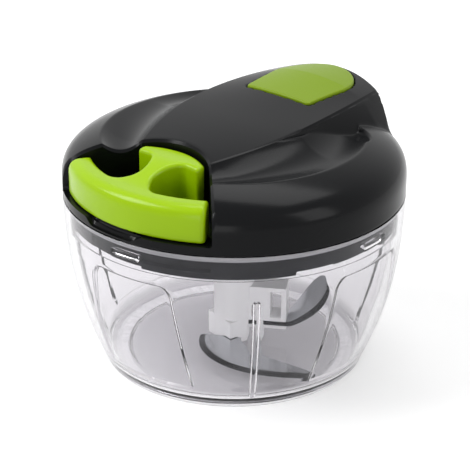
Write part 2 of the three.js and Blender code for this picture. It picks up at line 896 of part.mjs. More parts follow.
function makeTopPlate() {
  const band = ridgeBody(
    plateFrontY - overrun,
    ridgeRearY,
    clearance,
    (x, y) => ridgeTop(x, y) - pocketDepth + clearance,
    (x, y) => ridgeTop(x, y) + plateProud,
  );
  return slab(plateOutline(), coverShoulder, cutTop).intersect(band);
}

// Lid base

function makeLidBase() {
  const collarInner = bushOuter + clearance;
  const parts = [
    disc(sealOuter - clearance, plateBottomZ, plateTopZ, finest),
    ring(skirtInner, skirtRadius, skirtBottom, plateTopZ - clearance, finest),
    ring(collarInner, collarInner + collarWall, plateBottomZ - collarDrop, plateTopZ, fine),
  ];
  const floor = skirtRadius - grooveDepth;
  const beyond = skirtRadius + overrun;
  const cutters = [
    disc(collarInner, skirtBottom, plateTopZ + overrun),
    ring(sealInner - clearance, beyond, sealBottom - clearance, plateBottomZ, finest),
  ];
  const trackBottom = lugBottom - clearance;
  const trackTop = lugTop + clearance;
  for (let i = 0; i < lugCount; i++) {
    const lug = bowlTurnAngle + (i * 360) / lugCount;
    const entry = lug - entryLead;
    const track = lug + lugAngle / 2 + clearance / skirtRadius / rad;
    cutters.push(
      sweep(wallSection(floor, beyond, skirtBottom - overrun, trackTop), entry, track + clearance, 5),
      sweep(wallSection(floor, beyond, trackBottom, trackTop), track, track + lockAngle + clearance, 5),
      sweep(
        wallSection(skirtInner - overrun, beyond, skirtBottom - overrun, skirtBottom + mouthHeight),
        entry - mouthAngle,
        entry,
        3,
      ),
    );
  }
  for (const angle of screwAngles) {
    cutters.push(post(polar(screwCircle, angle), screwRadius + clearance, skirtBottom, plateTopZ + overrun));
  }
  return cut(join(...parts), ...cutters);
}

function makeSeal() {
  return ring(sealInner, sealOuter, sealBottom, sealTop, finest);
}

// A pan head screw, standing on the upper face of its head.
function makeScrew(shank, grip, head, headHeight) {
  return solid(
    revolve(
      [
        [0, -headHeight],
        [head - headHeight / 2, -headHeight],
        [head, -headHeight / 2],
        [head, 0],
        [shank, 0],
        [shank, grip - shank],
        [0, grip],
      ],
      coarse,
    ),
  );
}

// Drive

function makeBush() {
  return solid(
    revolve(
      [
        [bushInner, plateBottomZ - collarDrop],
        [bushOuter, plateBottomZ - collarDrop],
        [bushOuter, plateTopZ + clearance],
        [bushOuter + bushFlange, plateTopZ + clearance],
        [bushOuter + bushFlange, bushFlangeTop],
        [bushInner, bushFlangeTop],
        [bushInner, plateBottomZ - collarDrop],
      ],
      fine,
    ),
  );
}

// The ratchet's saw teeth in plan: a steep face at each tooth's tip, then a ramp to the next.
function ratchetOutline() {
  const pitch = 360 / ratchetCount;
  const face = pitch / 10;
  return steps(0, ratchetCount - 1, ratchetCount - 1).flatMap((i) => [
    polar(ratchetTip, i * pitch),
    polar(ratchetRoot, i * pitch + face),
    polar(ratchetRoot, i * pitch + 2 * face),
  ]);
}

function makeHub() {
  const floor = cupBottom + cupFloor;
  const body = join(
    disc(hubRadius, hubBottom, floor),
    disc(cupRadius, cupBottom, cupTop),
  );
  const cutters = [
    disc(hubSocket, hubBottom - overrun, hubCeiling),
    disc(axleRadius + clearance, hubBottom, cupTop, medium),
    slab(ratchetOutline(), floor, cupTop + overrun),
  ];
  const dogs = makeDogs(
    spigotRadius + clearance,
    hubSocket + hubWall / 2,
    hubBottom + dogInset,
    spigotTop,
    0,
  );
  return join(cut(body, ...cutters), ...dogs);
}

const pawlBottom = cupBottom + cupFloor + clearance;
const pawlTop = spoolBottom - clearance;
const pawlPlaces = [pawlReachAngle + pawlStartAngle, pawlReachAngle + pawlStartAngle + 180];

// A pawl about its own pin, for a pin on the -Y side of the axis: the finger reaches out and clockwise.
function makePawl() {
  const [tipX, tipY] = polar(pawlTipRadius, -pawlReachAngle);
  const [dx, dy] = [tipX, tipY + pawlOrbit];
  const length = Math.hypot(dx, dy);
  const [ux, uy] = [dx / length, dy / length];
  const at = (along, across) => [ux * along - uy * across, uy * along + ux * across];
  const height = pawlTop - pawlBottom;
  const finger = slab(
    [
      at(0, -pawlEye),
      at(length - pawlPin, -pawlPin),
      at(length, 0),
      at(length - pawlPin, pawlPin),
      at(0, pawlEye),
    ],
    0,
    height,
  );
  return cut(
    join(post([0, 0], pawlEye, 0, height, medium), finger),
    post([0, 0], pawlPin + clearance, -overrun, height + overrun),
  );
}

function makeSpool() {
  const flange = (bottom) => disc(spoolFlange, bottom, bottom + flangeHeight);
  const pins = pawlPlaces.map((angle) =>
    post(polar(pawlOrbit, angle), pawlPin, pawlBottom, spoolBottom + clearance),
  );
  return cut(
    join(
      flange(spoolBottom),
      disc(spoolDrum, spoolBottom, spoolTop),
      flange(drumTop),
      disc(arborRadius, drumTop, springTop, medium),
      ...pins,
    ),
    disc(axleRadius + clearance, pawlBottom - overrun, springTop + overrun, medium),
  );
}

function makeWoundCord() {
  const inner = spoolDrum + clearance;
  return ring(inner, inner + cordCoil, drumBottom + clearance, drumTop - clearance);
}

// The flat return spring: a strip wound outwards from the spool's arbor to the wall of its case.
function makeSpring() {
  const start = arborRadius + clearance + springStrip;
  const end = caseRadius - caseWall - clearance - springStrip;
  return loft(
    steps(0, 1, Math.ceil(springTurnsShare * medium)).map((share) => {
      const angle = share * springTurnsShare * 360;
      const radius = start + (end - start) * share;
      const half = springStrip / 2;
      const section = wallSection(radius - half, radius + half, springBottom, springTop);
      return section.map(([r, z]) => [...polar(r, angle), z]);
    }),
  );
}

function makeSpringCase() {
  return solid(
    revolve(
      [
        [caseRadius - caseWall, caseBottom],
        [caseRadius, caseBottom],
        [caseRadius, caseTop],
        [axleRadius + clearance, caseTop],
        [axleRadius + clearance, caseTop - caseWall],
        [caseRadius - caseWall, caseTop - caseWall],
        [caseRadius - caseWall, caseBottom],
      ],
      fine,
    ),
  );
}

function makeAxle() {
  const boreTop = axleHeadTop + axleScrewGrip + clearance;
  const bore = post([0, 0], screwRadius + clearance, hubCeiling - overrun, boreTop);
  return cut(post([0, 0], axleRadius, hubCeiling, axleTop, medium), bore);
}

function makeWasher() {
  return ring(screwRadius + clearance, washerRadius, washerTop - washerHeight, washerTop, medium);
}

// Cord and handle

function makeEyelet() {
  const front = recessBackY;
  const flangeFront = recessBackY + tubWall + clearance;
  const body = join(
    barAlongY(0, cordZ, eyeletRadius, front, eyeletRearY, medium),
    barAlongY(0, cordZ, eyeletFlange, flangeFront, eyeletRearY, medium),
  );
  return cut(body, barAlongY(0, cordZ, cordRadius + clearance, front - overrun, eyeletRearY + overrun));
}

// The cord from the eyelet to where it lies against the winding.
function makeCordRun() {
  const startY = eyeletRearY + cordRadius + clearance;
  const turn = Math.acos(cordArm / Math.abs(startY)) / rad;
  const [endX, endY] = polar(cordArm, turn);
  const extrudePath = new THREE.LineCurve3(
    new THREE.Vector3(0, startY, cordZ),
    new THREE.Vector3(endX, endY, cordZ),
  );
  return solid(new THREE.ExtrudeGeometry(cordSection(), { steps: 6, bevelEnabled: false, extrudePath }));
}

function cordSection() {
  return new THREE.Shape(
    steps(0, 360 - 45, 7).map((angle) => new THREE.Vector2(...polar(cordRadius, angle))),
  );
}

function makePullCord() {
  return barAlongY(0, cordZ, cordRadius, knotY + knotRadius + clearance, eyeletRearY, 8);
}

function makeKnot() {
  const ball = new THREE.SphereGeometry(knotRadius, coarse, 8);
  return solid(ball.rotateX(Math.PI / 2).translate(0, knotY, cordZ));
}

function makeHandle() {
  const plateTop = coverBottom + handlePlateTop;
  const barTop = coverBottom + handleBarTop;
  const rear = archRadius - handleGap;
  const half = Math.asin(handlePlateHalf / rear);
  const outline = [
    ...steps(-half, half, 10).map((angle) => [
      rear * Math.sin(angle),
      archCentreY + rear * Math.cos(angle),
    ]),
    [handlePlateHalf, handlePlateFront],
    [-handlePlateHalf, handlePlateFront],
  ];
  const plate = slab(outline, handleBottom, plateTop);

  const section = [
    [barInner, handleBottom],
    [barRadius, handleBottom],
    [barRadius, barTop - barRound],
    [barRadius - barRound, barTop],
    [barInner + barRound, barTop],
    [barInner, barTop - barRound],
  ];
  const bar = sweep(section, -barAngle, barAngle, 14).intersect(
    slab(grown(recessOutline(), -2 * clearance), handleBottom - overrun, plateTop),
  );

  const stemRear = handlePlateFront + stemOverlap;
  const stemFront = -barInner - stemOverlap;
  const stemWaistY = stemRear + (stemFront - stemRear) * stemWaistShare;
  const stem = loft(
    steps(stemRear, stemFront, 10).map((y) => {
      const share = (y - stemRear) / (stemFront - stemRear);
      const flare = y > stemWaistY ? stemFlare : stemBarFlare;
      const end = y > stemWaistY ? stemRear : stemFront;
      const side = stemHalf + flare * ((y - stemWaistY) / (end - stemWaistY)) ** 2;
      const top = plateTop + (barTop - plateTop) * share - clearance;
      return [
        [-side, y, handleBottom],
        [side, y, handleBottom],
        [side, y, top - barRound],
        [side - barRound, y, top],
        [barRound - side, y, top],
        [-side, y, top - barRound],
      ];
    }),
  );
  const pocket = knotRadius + 2 * clearance;
  return cut(
    join(plate, bar, stem),
    block([-pocket, knotY - pocket, handleBottom - overrun], [pocket, knotY + pocket, cordZ + pocket]),
    barAlongY(0, cordZ, cordRadius + clearance, knotY, recessBackY),
  );
}

// The assembly: pieces that move together share a group.

const finishes = {
  clear: { color: 0xdfe6e8, roughness: 0.08, metalness: 0, transparent: true, opacity: 0.35 },
  charcoal: { color: 0x2d2f32, roughness: 0.38, metalness: 0 },
  green: { color: 0x9fc61a, roughness: 0.35, metalness: 0 },
  plateGreen: { color: 0x97b82a, roughness: 0.32, metalness: 0 },
  white: { color: 0xeceeea, roughness: 0.4, metalness: 0 },
  blackPlastic: { color: 0x1d1e20, roughness: 0.5, metalness: 0 },
  silicone: { color: 0xd9dcd8, roughness: 0.6, metalness: 0 },
  steel: { color: 0xb9bcbd, roughness: 0.28, metalness: 1 },
  springSteel: { color: 0x7f8588, roughness: 0.35, metalness: 1 },
  cord: { color: 0xe6e6e0, roughness: 0.8, metalness: 0 },
};

// The solid as a mesh with a name and a finish.
function piece(name, finish, body) {
  const { numProp, numVert, vertProperties, triVerts } = body.getMesh();
  const points = new Float32Array(numVert * 3);
  for (let i = 0; i < numVert; i++) points.set(vertProperties.subarray(i * numProp, i * numProp + 3), i * 3);
  const geometry = new THREE.BufferGeometry();
  geometry.setAttribute("position", new THREE.BufferAttribute(points, 3));
  geometry.setIndex(new THREE.BufferAttribute(triVerts, 1));
  geometry.computeVertexNormals();
  const mesh = new THREE.Mesh(geometry, new THREE.MeshStandardMaterial(finishes[finish]));
  mesh.name = name;
  return mesh;
}

function group(...members) {
  const made = new THREE.Group();
  made.add(...members);
  return made;
}

// A blade turned about the axis and raised to its place.
function blade(name, body, { angle, bottom }) {
  const mesh = piece(name, "steel", body);
  mesh.rotation.z = angle * rad;
  mesh.position.z = bottom;
  return mesh;
}

const bowlGroup = group(piece("bowl", "clear", makeBowl()), piece("pivot_pin", "steel", makePivotPin()));

const bladeUnit = group(
  piece("blade_shaft", "white", makeBladeShaft()),
  blade("blade_lower", makeLowerBlade(), lowerBlade),
  blade("blade_middle", makeRaisedBlade(), middleBlade),
  blade("blade_upper", makeRaisedBlade(), upperBlade),
);

const screwGripBelow = lipTop - tubWall + screwGrip - (plateBottomZ - clearance);
const lidScrews = screwAngles.map((angle, i) => {
  const body = makeScrew(screwRadius, screwGripBelow, screwHead, screwHeadHeight);
  const screw = piece(`lid_screw_${i + 1}`, "steel", body);
  screw.position.set(...polar(screwCircle, angle), plateBottomZ - clearance);
  return screw;
});
const axleScrew = piece(
  "axle_screw",
  "steel",
  makeScrew(screwRadius, axleScrewGrip, axleScrewHead, axleScrewHeadHeight),
);
axleScrew.position.z = axleHeadTop;

const lidGroup = group(
  piece("upper_cover", "charcoal", makeCover()),
  piece("top_plate", "plateGreen", makeTopPlate()),
  piece("lid_base", "charcoal", makeLidBase()),
  piece("lid_seal_ring", "silicone", makeSeal()),
  piece("drive_bush", "white", makeBush()),
  piece("spool_axle", "steel", makeAxle()),
  piece("axle_washer", "steel", makeWasher()),
  axleScrew,
  piece("spring_case", "blackPlastic", makeSpringCase()),
  piece("spiral_spring", "springSteel", makeSpring()),
  piece("cord_eyelet", "steel", makeEyelet()),
  piece("cord_run", "cord", makeCordRun()),
  ...lidScrews,
);

const spoolGroup = group(
  piece("cord_spool", "white", makeSpool()),
  piece("wound_cord", "cord", makeWoundCord()),
);
pawlPlaces.forEach((angle, i) => {
  const pawl = piece(`pawl_${i + 1}`, "blackPlastic", makePawl());
  pawl.position.set(...polar(pawlOrbit, angle), pawlBottom);
  pawl.rotation.z = angle * rad;
  spoolGroup.add(pawl);
});

const hubGroup = group(piece("drive_hub", "white", makeHub()));
const handleGroup = group(
  piece("pull_handle", "green", makeHandle()),
  piece("pull_cord", "cord", makePullCord()),
  piece("cord_knot", "cord", makeKnot()),
);

export default group(bowlGroup, bladeUnit, group(lidGroup, hubGroup, spoolGroup, handleGroup));
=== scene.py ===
"""Looks of a hand food chopper worked by a pull cord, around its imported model.

Lengths are millimetres in the classes' fields and metres in the meshes. +Z is up, the pull handle leaves
the lid towards -Y, and an angle in plan starts at -Y and grows towards +X.
"""

import logging
import math
from collections.abc import Callable, Sequence
from dataclasses import dataclass, field
from enum import Enum

import bmesh
import bpy
import numpy as np
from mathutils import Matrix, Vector
from numpy.typing import NDArray


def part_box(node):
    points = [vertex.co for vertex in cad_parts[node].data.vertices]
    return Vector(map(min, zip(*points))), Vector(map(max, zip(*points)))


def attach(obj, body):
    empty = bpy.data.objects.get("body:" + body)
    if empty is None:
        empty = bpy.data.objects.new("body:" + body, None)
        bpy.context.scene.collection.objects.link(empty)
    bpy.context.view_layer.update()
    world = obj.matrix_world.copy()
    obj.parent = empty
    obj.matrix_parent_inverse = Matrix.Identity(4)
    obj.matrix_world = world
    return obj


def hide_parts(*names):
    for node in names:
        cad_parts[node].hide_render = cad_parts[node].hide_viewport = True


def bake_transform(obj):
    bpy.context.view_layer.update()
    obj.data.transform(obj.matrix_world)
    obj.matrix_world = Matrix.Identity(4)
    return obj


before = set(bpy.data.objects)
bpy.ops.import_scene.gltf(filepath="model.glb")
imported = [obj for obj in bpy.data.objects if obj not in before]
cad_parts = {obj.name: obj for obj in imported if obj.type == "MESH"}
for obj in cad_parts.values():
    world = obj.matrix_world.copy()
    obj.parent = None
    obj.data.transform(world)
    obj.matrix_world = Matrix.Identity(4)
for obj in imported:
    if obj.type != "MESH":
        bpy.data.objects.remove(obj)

Array = NDArray[np.float64]
Pair = tuple[float, float]
Triple = tuple[float, float, float]
Socket = bpy.types.NodeSocket
MM = 0.001
SHARP = math.radians(36.0)
FLAT = math.radians(0.6)
WELD = 2e-6
CORD_RADIUS = 1.0
QUARTER = math.pi / 2.0
TURN = 2.0 * math.pi
LOG = logging.getLogger("chopper")


class Finish(Enum):
    """The record's material slots, named for what they cover."""

    CLEAR = "clear_plastic"
    LID = "lid_plastic"
    BASE = "base_plastic"
    GREEN = "green_plastic"
    PLATE = "green_plate"
    WHITE = "white_plastic"
    INNER = "inner_plastic"
    SILICONE = "silicone"
    BLADE = "blade_steel"
    STEEL = "steel"
    SPRING = "spring_steel"
    CORD = "cord"


def polar(radius: Array | float, angle: Array | float) -> tuple[Array, Array]:
    """Plan coordinates of a radius and an angle in radians."""
    return radius * np.sin(angle), -radius * np.cos(angle)


def folded(degrees: Array) -> Array:
    """How far angles in degrees lie from the nearest quarter turn."""
    return np.abs((degrees + 45.0) % 90.0 - 45.0)


def rising(value: Array, start: Array | float, end: Array | float) -> Array:
    """Runs smoothly from 0 at start to 1 at end: t squared times three less two t."""
    t = np.clip((value - start) / (end - start), 0.0, 1.0)
    return t * t * (3.0 - 2.0 * t)


def falling(value: Array, start: Array | float, end: Array | float) -> Array:
    """Runs smoothly from 1 at start to 0 at end."""
    return rising(-value, -end, -start)


def soft_min(a: Array, b: Array, blend: float) -> Array:
    """The smaller of two heights, the corner between them rounded over a blend length.

    The two are mixed by a share h, which follows their difference over the blend, and the blend times
    h times one less h is taken off.

    Args:
        a: one height.
        b: the other.
        blend: the length over which they meet.

    Returns:
        The rounded lower height.
    """
    h = np.clip(0.5 + 0.5 * (b - a) / blend, 0.0, 1.0)
    return b * (1.0 - h) + a * h - blend * h * (1.0 - h)


def edge_round(distance: Array, radius: Array | float) -> Array:
    """How far a quarter round edge has sunk at a distance from the edge: radius less the circle's height."""
    inside = np.clip(radius - distance, 0.0, None)
    return radius - np.sqrt(np.maximum(radius * radius - inside * inside, 0.0))


def unit(vectors: Array) -> Array:
    """Rows scaled to a length of 1, each divided by its own length."""
    return vectors / np.maximum(np.linalg.norm(vectors, axis=1), 1e-9)[:, None]


def lifted(plan: Array, height: Array) -> Array:
    """Plan points with their heights as the third coordinate."""
    return np.concatenate([plan, height[..., None]], axis=-1)


def along(line: Array, at: Array | int) -> Array:
    """Points of a polyline at shares of its length, or at that many equal steps of it.

    Args:
        line: corners, shape (m, 2) or (m, 3).
        at: shares of the length from 0 to 1, or how many points to take at equal steps.

    Returns:
        The points, shape (n, 2) or (n, 3).
    """
    run = np.concatenate([[0.0], np.cumsum(np.linalg.norm(np.diff(line, axis=0), axis=1))])
    at = np.linspace(0.0, run[-1], at) if isinstance(at, int) else at * run[-1]
    return np.stack([np.interp(at, run, line[:, k]) for k in range(line.shape[1])], axis=1)


def distance_to(points: Array, line: Array) -> Array:
    """The distance of plan points from a polyline, by the nearest place on each of its segments.

    Args:
        points: shape (n, 2).
        line: the polyline's corners, shape (m, 2).

    Returns:
        The n distances.
    """
    best = np.full(len(points), np.inf)
    for a, b in zip(line[:-1], line[1:]):
        edge = b - a
        length = float(edge @ edge)
        if length > 0.0:
            t = np.clip((points - a) @ edge / length, 0.0, 1.0)
            gap = points - a - t[:, None] * edge
            best = np.minimum(best, np.einsum("ij,ij->i", gap, gap))
    return np.sqrt(best)


def stepped(marks: Sequence[float], spacing: float) -> Array:
    """Values from the first mark to the last that hold every mark and lie at most a spacing apart.

    Args:
        marks: values that don't fall.
        spacing: the largest step between two values.

    Returns:
        The values, from the first mark to the last.
    """
    spans = [(a, b) for a, b in zip(marks[:-1], marks[1:]) if b > a]
    parts = [np.linspace(a, b, max(1, math.ceil((b - a) / spacing)) + 1)[:-1] for a, b in spans]
    return np.concatenate([*parts, [marks[-1]]])


def path(corners: list[Pair], radii: Sequence[float], steps: int = 5) -> Array:
    """A section line whose corners are rounded by quadratic curves that start a radius from each corner.

    A curve takes at most just under half of the shorter side.

    Args:
        corners: the line's corners.
        radii: one for each corner between the ends, 0 if it is sharp.
        steps: how many points a rounded corner gets.

    Returns:
        The line's points, shape (n, 2).
    """
    line, most = np.array(corners), 0.49
    out = [line[:1]]
    share = np.linspace(0.0, 1.0, steps)[:, None]
    for before, here, after, radius in zip(line[:-2], line[1:-1], line[2:], radii):
        if radius <= 0.0:
            out.append(here[None])
            continue
        back, ahead = before - here, after - here
        reach = min(radius, min(np.linalg.norm(back), np.linalg.norm(ahead)) * most)
        a, b = (here + way / np.linalg.norm(way) * reach for way in (back, ahead))
        out.append(a * (1.0 - share) ** 2 + 2.0 * here * share * (1.0 - share) + b * share**2)
    return np.concatenate([*out, line[-1:]])


def rounded_cut(a: Array, b: Array, radius: float) -> Array:
    """The field of what two solids share, its new edge rounded: distances are negative inside."""
    over = np.hypot(np.maximum(a + radius, 0.0), np.maximum(b + radius, 0.0))
    return np.minimum(np.maximum(a, b), -radius) + over


def filleted_join(a: Array, b: Array, radius: float) -> Array:
    """The field of two solids joined, with a fillet of the radius where they meet."""
    return -rounded_cut(-a, -b, radius)


def skinned(solid: Callable[[Array], Array], low: Array, high: Array, step: float) -> tuple[Array, Array]:
    """Quads around a solid given by its field, which is negative inside.

    Each cell of a cubic grid that the surface crosses gets one point, at the mean of the crossings on the
    cell's edges, and each crossed edge gets the quad of its four cells. Steps down the field's slope then
    put the points on the surface.

    Args:
        solid: gives the field at points, shape (..., 3).
        low: the low corner of a box around the solid.
        high: the box's high corner.
        step: the grid's cell size.

    Returns:
        The points and the quads' corner numbers, facing outwards.
    """
    unit_steps = np.eye(3, dtype=int)
    axes = [np.arange(a - step, b + 2.0 * step, step) for a, b in zip(low, high)]
    grid = np.stack(np.meshgrid(*axes, indexing="ij"), axis=-1)
    value = solid(grid)
    cells = tuple(n - 1 for n in value.shape)
    total, count = np.zeros((*cells, 3)), np.zeros(cells)
    for axis in range(3):
        for b, c in ((0, 0), (0, 1), (1, 0), (1, 1)):
            start = np.roll([0, b, c], axis)
            end = start + unit_steps[axis]
            first, last = (value[tuple(slice(s, s + n) for s, n in zip(at, cells))] for at in (start, end))
            crossed = (first < 0.0) != (last < 0.0)
            share = np.where(crossed, first / np.where(crossed, first - last, 1.0), 0.0)
            total += (start + share[..., None] * np.eye(3)[axis]) * crossed[..., None]
            count += crossed
    filled = count > 0
    index = np.full(cells, -1)
    index[filled] = np.arange(filled.sum())
    points = grid[:-1, :-1, :-1][filled] + total[filled] / count[filled][:, None] * step
    quads = []
    for axis in range(3):
        u, v = unit_steps[(axis + 1) % 3], unit_steps[(axis + 2) % 3]
        inner = [slice(1, -1)] * 3
        inner[axis] = slice(0, -1)
        first = value[tuple(inner)] < 0.0
        inner[axis] = slice(1, None)
        change = np.argwhere(first != (value[tuple(inner)] < 0.0))
        base = change + u + v
        quad = np.stack([index[tuple((base - shift).T)] for shift in (u + v, v, 0 * u, u)], axis=1)
        outward = first[tuple(change.T)]
        quads.append(np.where(outward[:, None], quad, quad[:, ::-1]))
    probe, flattest, rounds = 0.02, 0.3, 3
    for _ in range(rounds):
        slope = np.stack([solid(points + probe * e) - solid(points - probe * e) for e in np.eye(3)], axis=1)
        slope /= 2.0 * probe
        points -= (solid(points) / np.maximum((slope**2).sum(axis=1), flattest))[:, None] * slope
    return points, np.concatenate(quads)


@dataclass
class Sheet:
    """A grid of points that becomes quads, rows by columns, in millimetres.

    A closed sheet's last column joins its first, and a turned one faces the other way.
    """

    points: Array
    closed: bool = False
    turned: bool = False

    def faces(self, first: int = 0) -> Array:
        """The quads' corner numbers, counted from the first vertex given.

        Args:
            first: the number of the sheet's first vertex.

        Returns:
            The quads, shape (n, 4).
        """
        rows, columns = self.points.shape[:2]
        index = first + np.arange(rows * columns).reshape(rows, columns)
        right = np.roll(index, -1, axis=1) if self.closed else index[:, 1:]
        left = index if self.closed else index[:, :-1]
        quads = np.stack([left[:-1], right[:-1], right[1:], left[1:]], axis=-1).reshape(-1, 4)
        return quads[:, ::-1] if self.turned else quads


def quad_object(name: str, points: Array, corners: Array) -> bpy.types.Object:
    """Makes an object of points in millimetres and of quads, each a row of four corner numbers.

    Args:
        name: the object's name.
        points: its corners, shape (n, 3).
        corners: its quads, shape (m, 4).

    Returns:
        The new object.
    """
    mesh = bpy.data.meshes.new(name)
    mesh.vertices.add(len(points))
    mesh.vertices.foreach_set("co", (points * MM).astype(np.float32).ravel())
    mesh.loops.add(corners.size)
    mesh.loops.foreach_set("vertex_index", corners.astype(np.int32).ravel())
    mesh.polygons.add(len(corners))
    mesh.polygons.foreach_set("loop_start", np.arange(0, corners.size, 4, dtype=np.int32))
    mesh.polygons.foreach_set("loop_total", np.full(len(corners), 4, np.int32))
    mesh.update(calc_edges=True)
    return placed(name, mesh)


def placed(name: str, data: bpy.types.ID) -> bpy.types.Object:
    """An object of a mesh, lamp or camera, in the scene.

    Args:
        name: the object's name.
        data: its mesh, light or camera.

    Returns:
        The new object.
    """
    obj = bpy.data.objects.new(name, data)
    bpy.context.scene.collection.objects.link(obj)
    return obj


def sealed(mesh: bpy.types.Mesh, speck: float, flat: float = 0.0) -> None:
    """Merges doubled corners, drops specks, joins facets flatter than an angle, and marks sharp edges.

    Args:
        mesh: the mesh, changed in place.
        speck: the length in metres under which an edge goes.
        flat: the angle in radians under which facets join, or 0 to keep them all.
    """
    work = bmesh.new()
    work.from_mesh(mesh)
    bmesh.ops.remove_doubles(work, verts=work.verts, dist=WELD)
    bmesh.ops.dissolve_degenerate(work, edges=work.edges, dist=speck)
    if flat > 0.0:
        bmesh.ops.dissolve_limit(work, angle_limit=flat, verts=work.verts, edges=work.edges)
    for line in work.edges:
        line.smooth = len(line.link_faces) != 2 or line.calc_face_angle(math.pi) < SHARP
    work.to_mesh(mesh)
    work.free()
    mesh.polygons.foreach_set("use_smooth", np.ones(len(mesh.polygons), bool))


def dressed(obj: bpy.types.Object, finish: Finish, body: str, nodes: tuple[str, ...]) -> bpy.types.Object:
    """Gives a piece its finish and the moving body that it rides on, if one does, and hides the nodes it
    stands for.

    Args:
        obj: the piece.
        finish: its material.
        body: the body that it rides on, or nothing if it lies between two.
        nodes: the model's nodes that it stands for.

    Returns:
        The same piece.
    """
    obj.data.materials.clear()
    obj.data.materials.append(MATERIALS[finish])
    if body:
        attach(obj, body)
    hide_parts(*nodes)
    LOG.info("%s: %d faces on %s", obj.name, len(obj.data.polygons), body or "two bodies")
    return obj


def build(name: str, sheets: list[Sheet], finish: Finish, body: str, *nodes: str) -> bpy.types.Object:
    """Makes one smooth object of the sheets, sealed where they meet.

    Args:
        name: the piece's name.
        sheets: its surfaces.
        finish: its material.
        body: the moving body that it rides on, or nothing if it lies between two.
        nodes: the model's nodes that it stands for.

    Returns:
        The new object.
    """
    first, quads = 0, []
    for sheet in sheets:
        quads.append(sheet.faces(first))
        first += sheet.points[..., 0].size
    points = np.concatenate([s.points.reshape(-1, 3) for s in sheets])
    obj = quad_object(name, points, np.concatenate(quads))
    sealed(obj.data, WELD / 2.0)
    return dressed(obj, finish, body, nodes)


def refined(node: str, finish: Finish, body: str, edge: float) -> None:
    """A copy of a model's node with its flat facets joined and its rounds smooth, that stands for it.

    Args:
        node: the node's name.
        finish: its material.
        body: the body that it rides on.
        edge: how wide its edges are eased, in millimetres, or 0 to leave them.
    """
    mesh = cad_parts[node].data.copy()
    sealed(mesh, WELD, FLAT)
    obj = placed(node + "_finished", mesh)
    if edge > 0.0:
        ease = obj.modifiers.new("eased edges", "BEVEL")
        ease.width = edge * MM
        ease.segments = 2
        ease.limit_method = "ANGLE"
        ease.angle_limit = SHARP
        ease.harden_normals = True
    dressed(obj, finish, body, (node,))


def corner(node: str, which: int, axis: int) -> float:
    """One coordinate of a model node's box, in millimetres: 0 is the low corner and 1 the high."""
    return float(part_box(node)[which][axis]) / MM


def sized(node: str, which: int, axis: int, more: float = 0.0) -> float:
    """A dataclass field whose value is a coordinate of a model node's box, and more."""
    return field(default_factory=lambda: corner(node, which, axis) + more)


def middle_of(node: str) -> float:
    """A dataclass field whose value is the Y of a model node's middle."""
    return field(default_factory=lambda: (corner(node, 0, 1) + corner(node, 1, 1)) / 2.0)


def rgba(colour: Triple, by: float = 1.0) -> tuple[float, float, float, float]:
    """An opaque colour made darker or lighter by a factor, kept below 1."""
    return (*(min(c * by, 1.0) for c in colour), 1.0)


def spread(value: float, share: float) -> Pair:
    """A value less a share of itself, and with that share more."""
    return value * (1.0 - share), value * (1.0 + share)


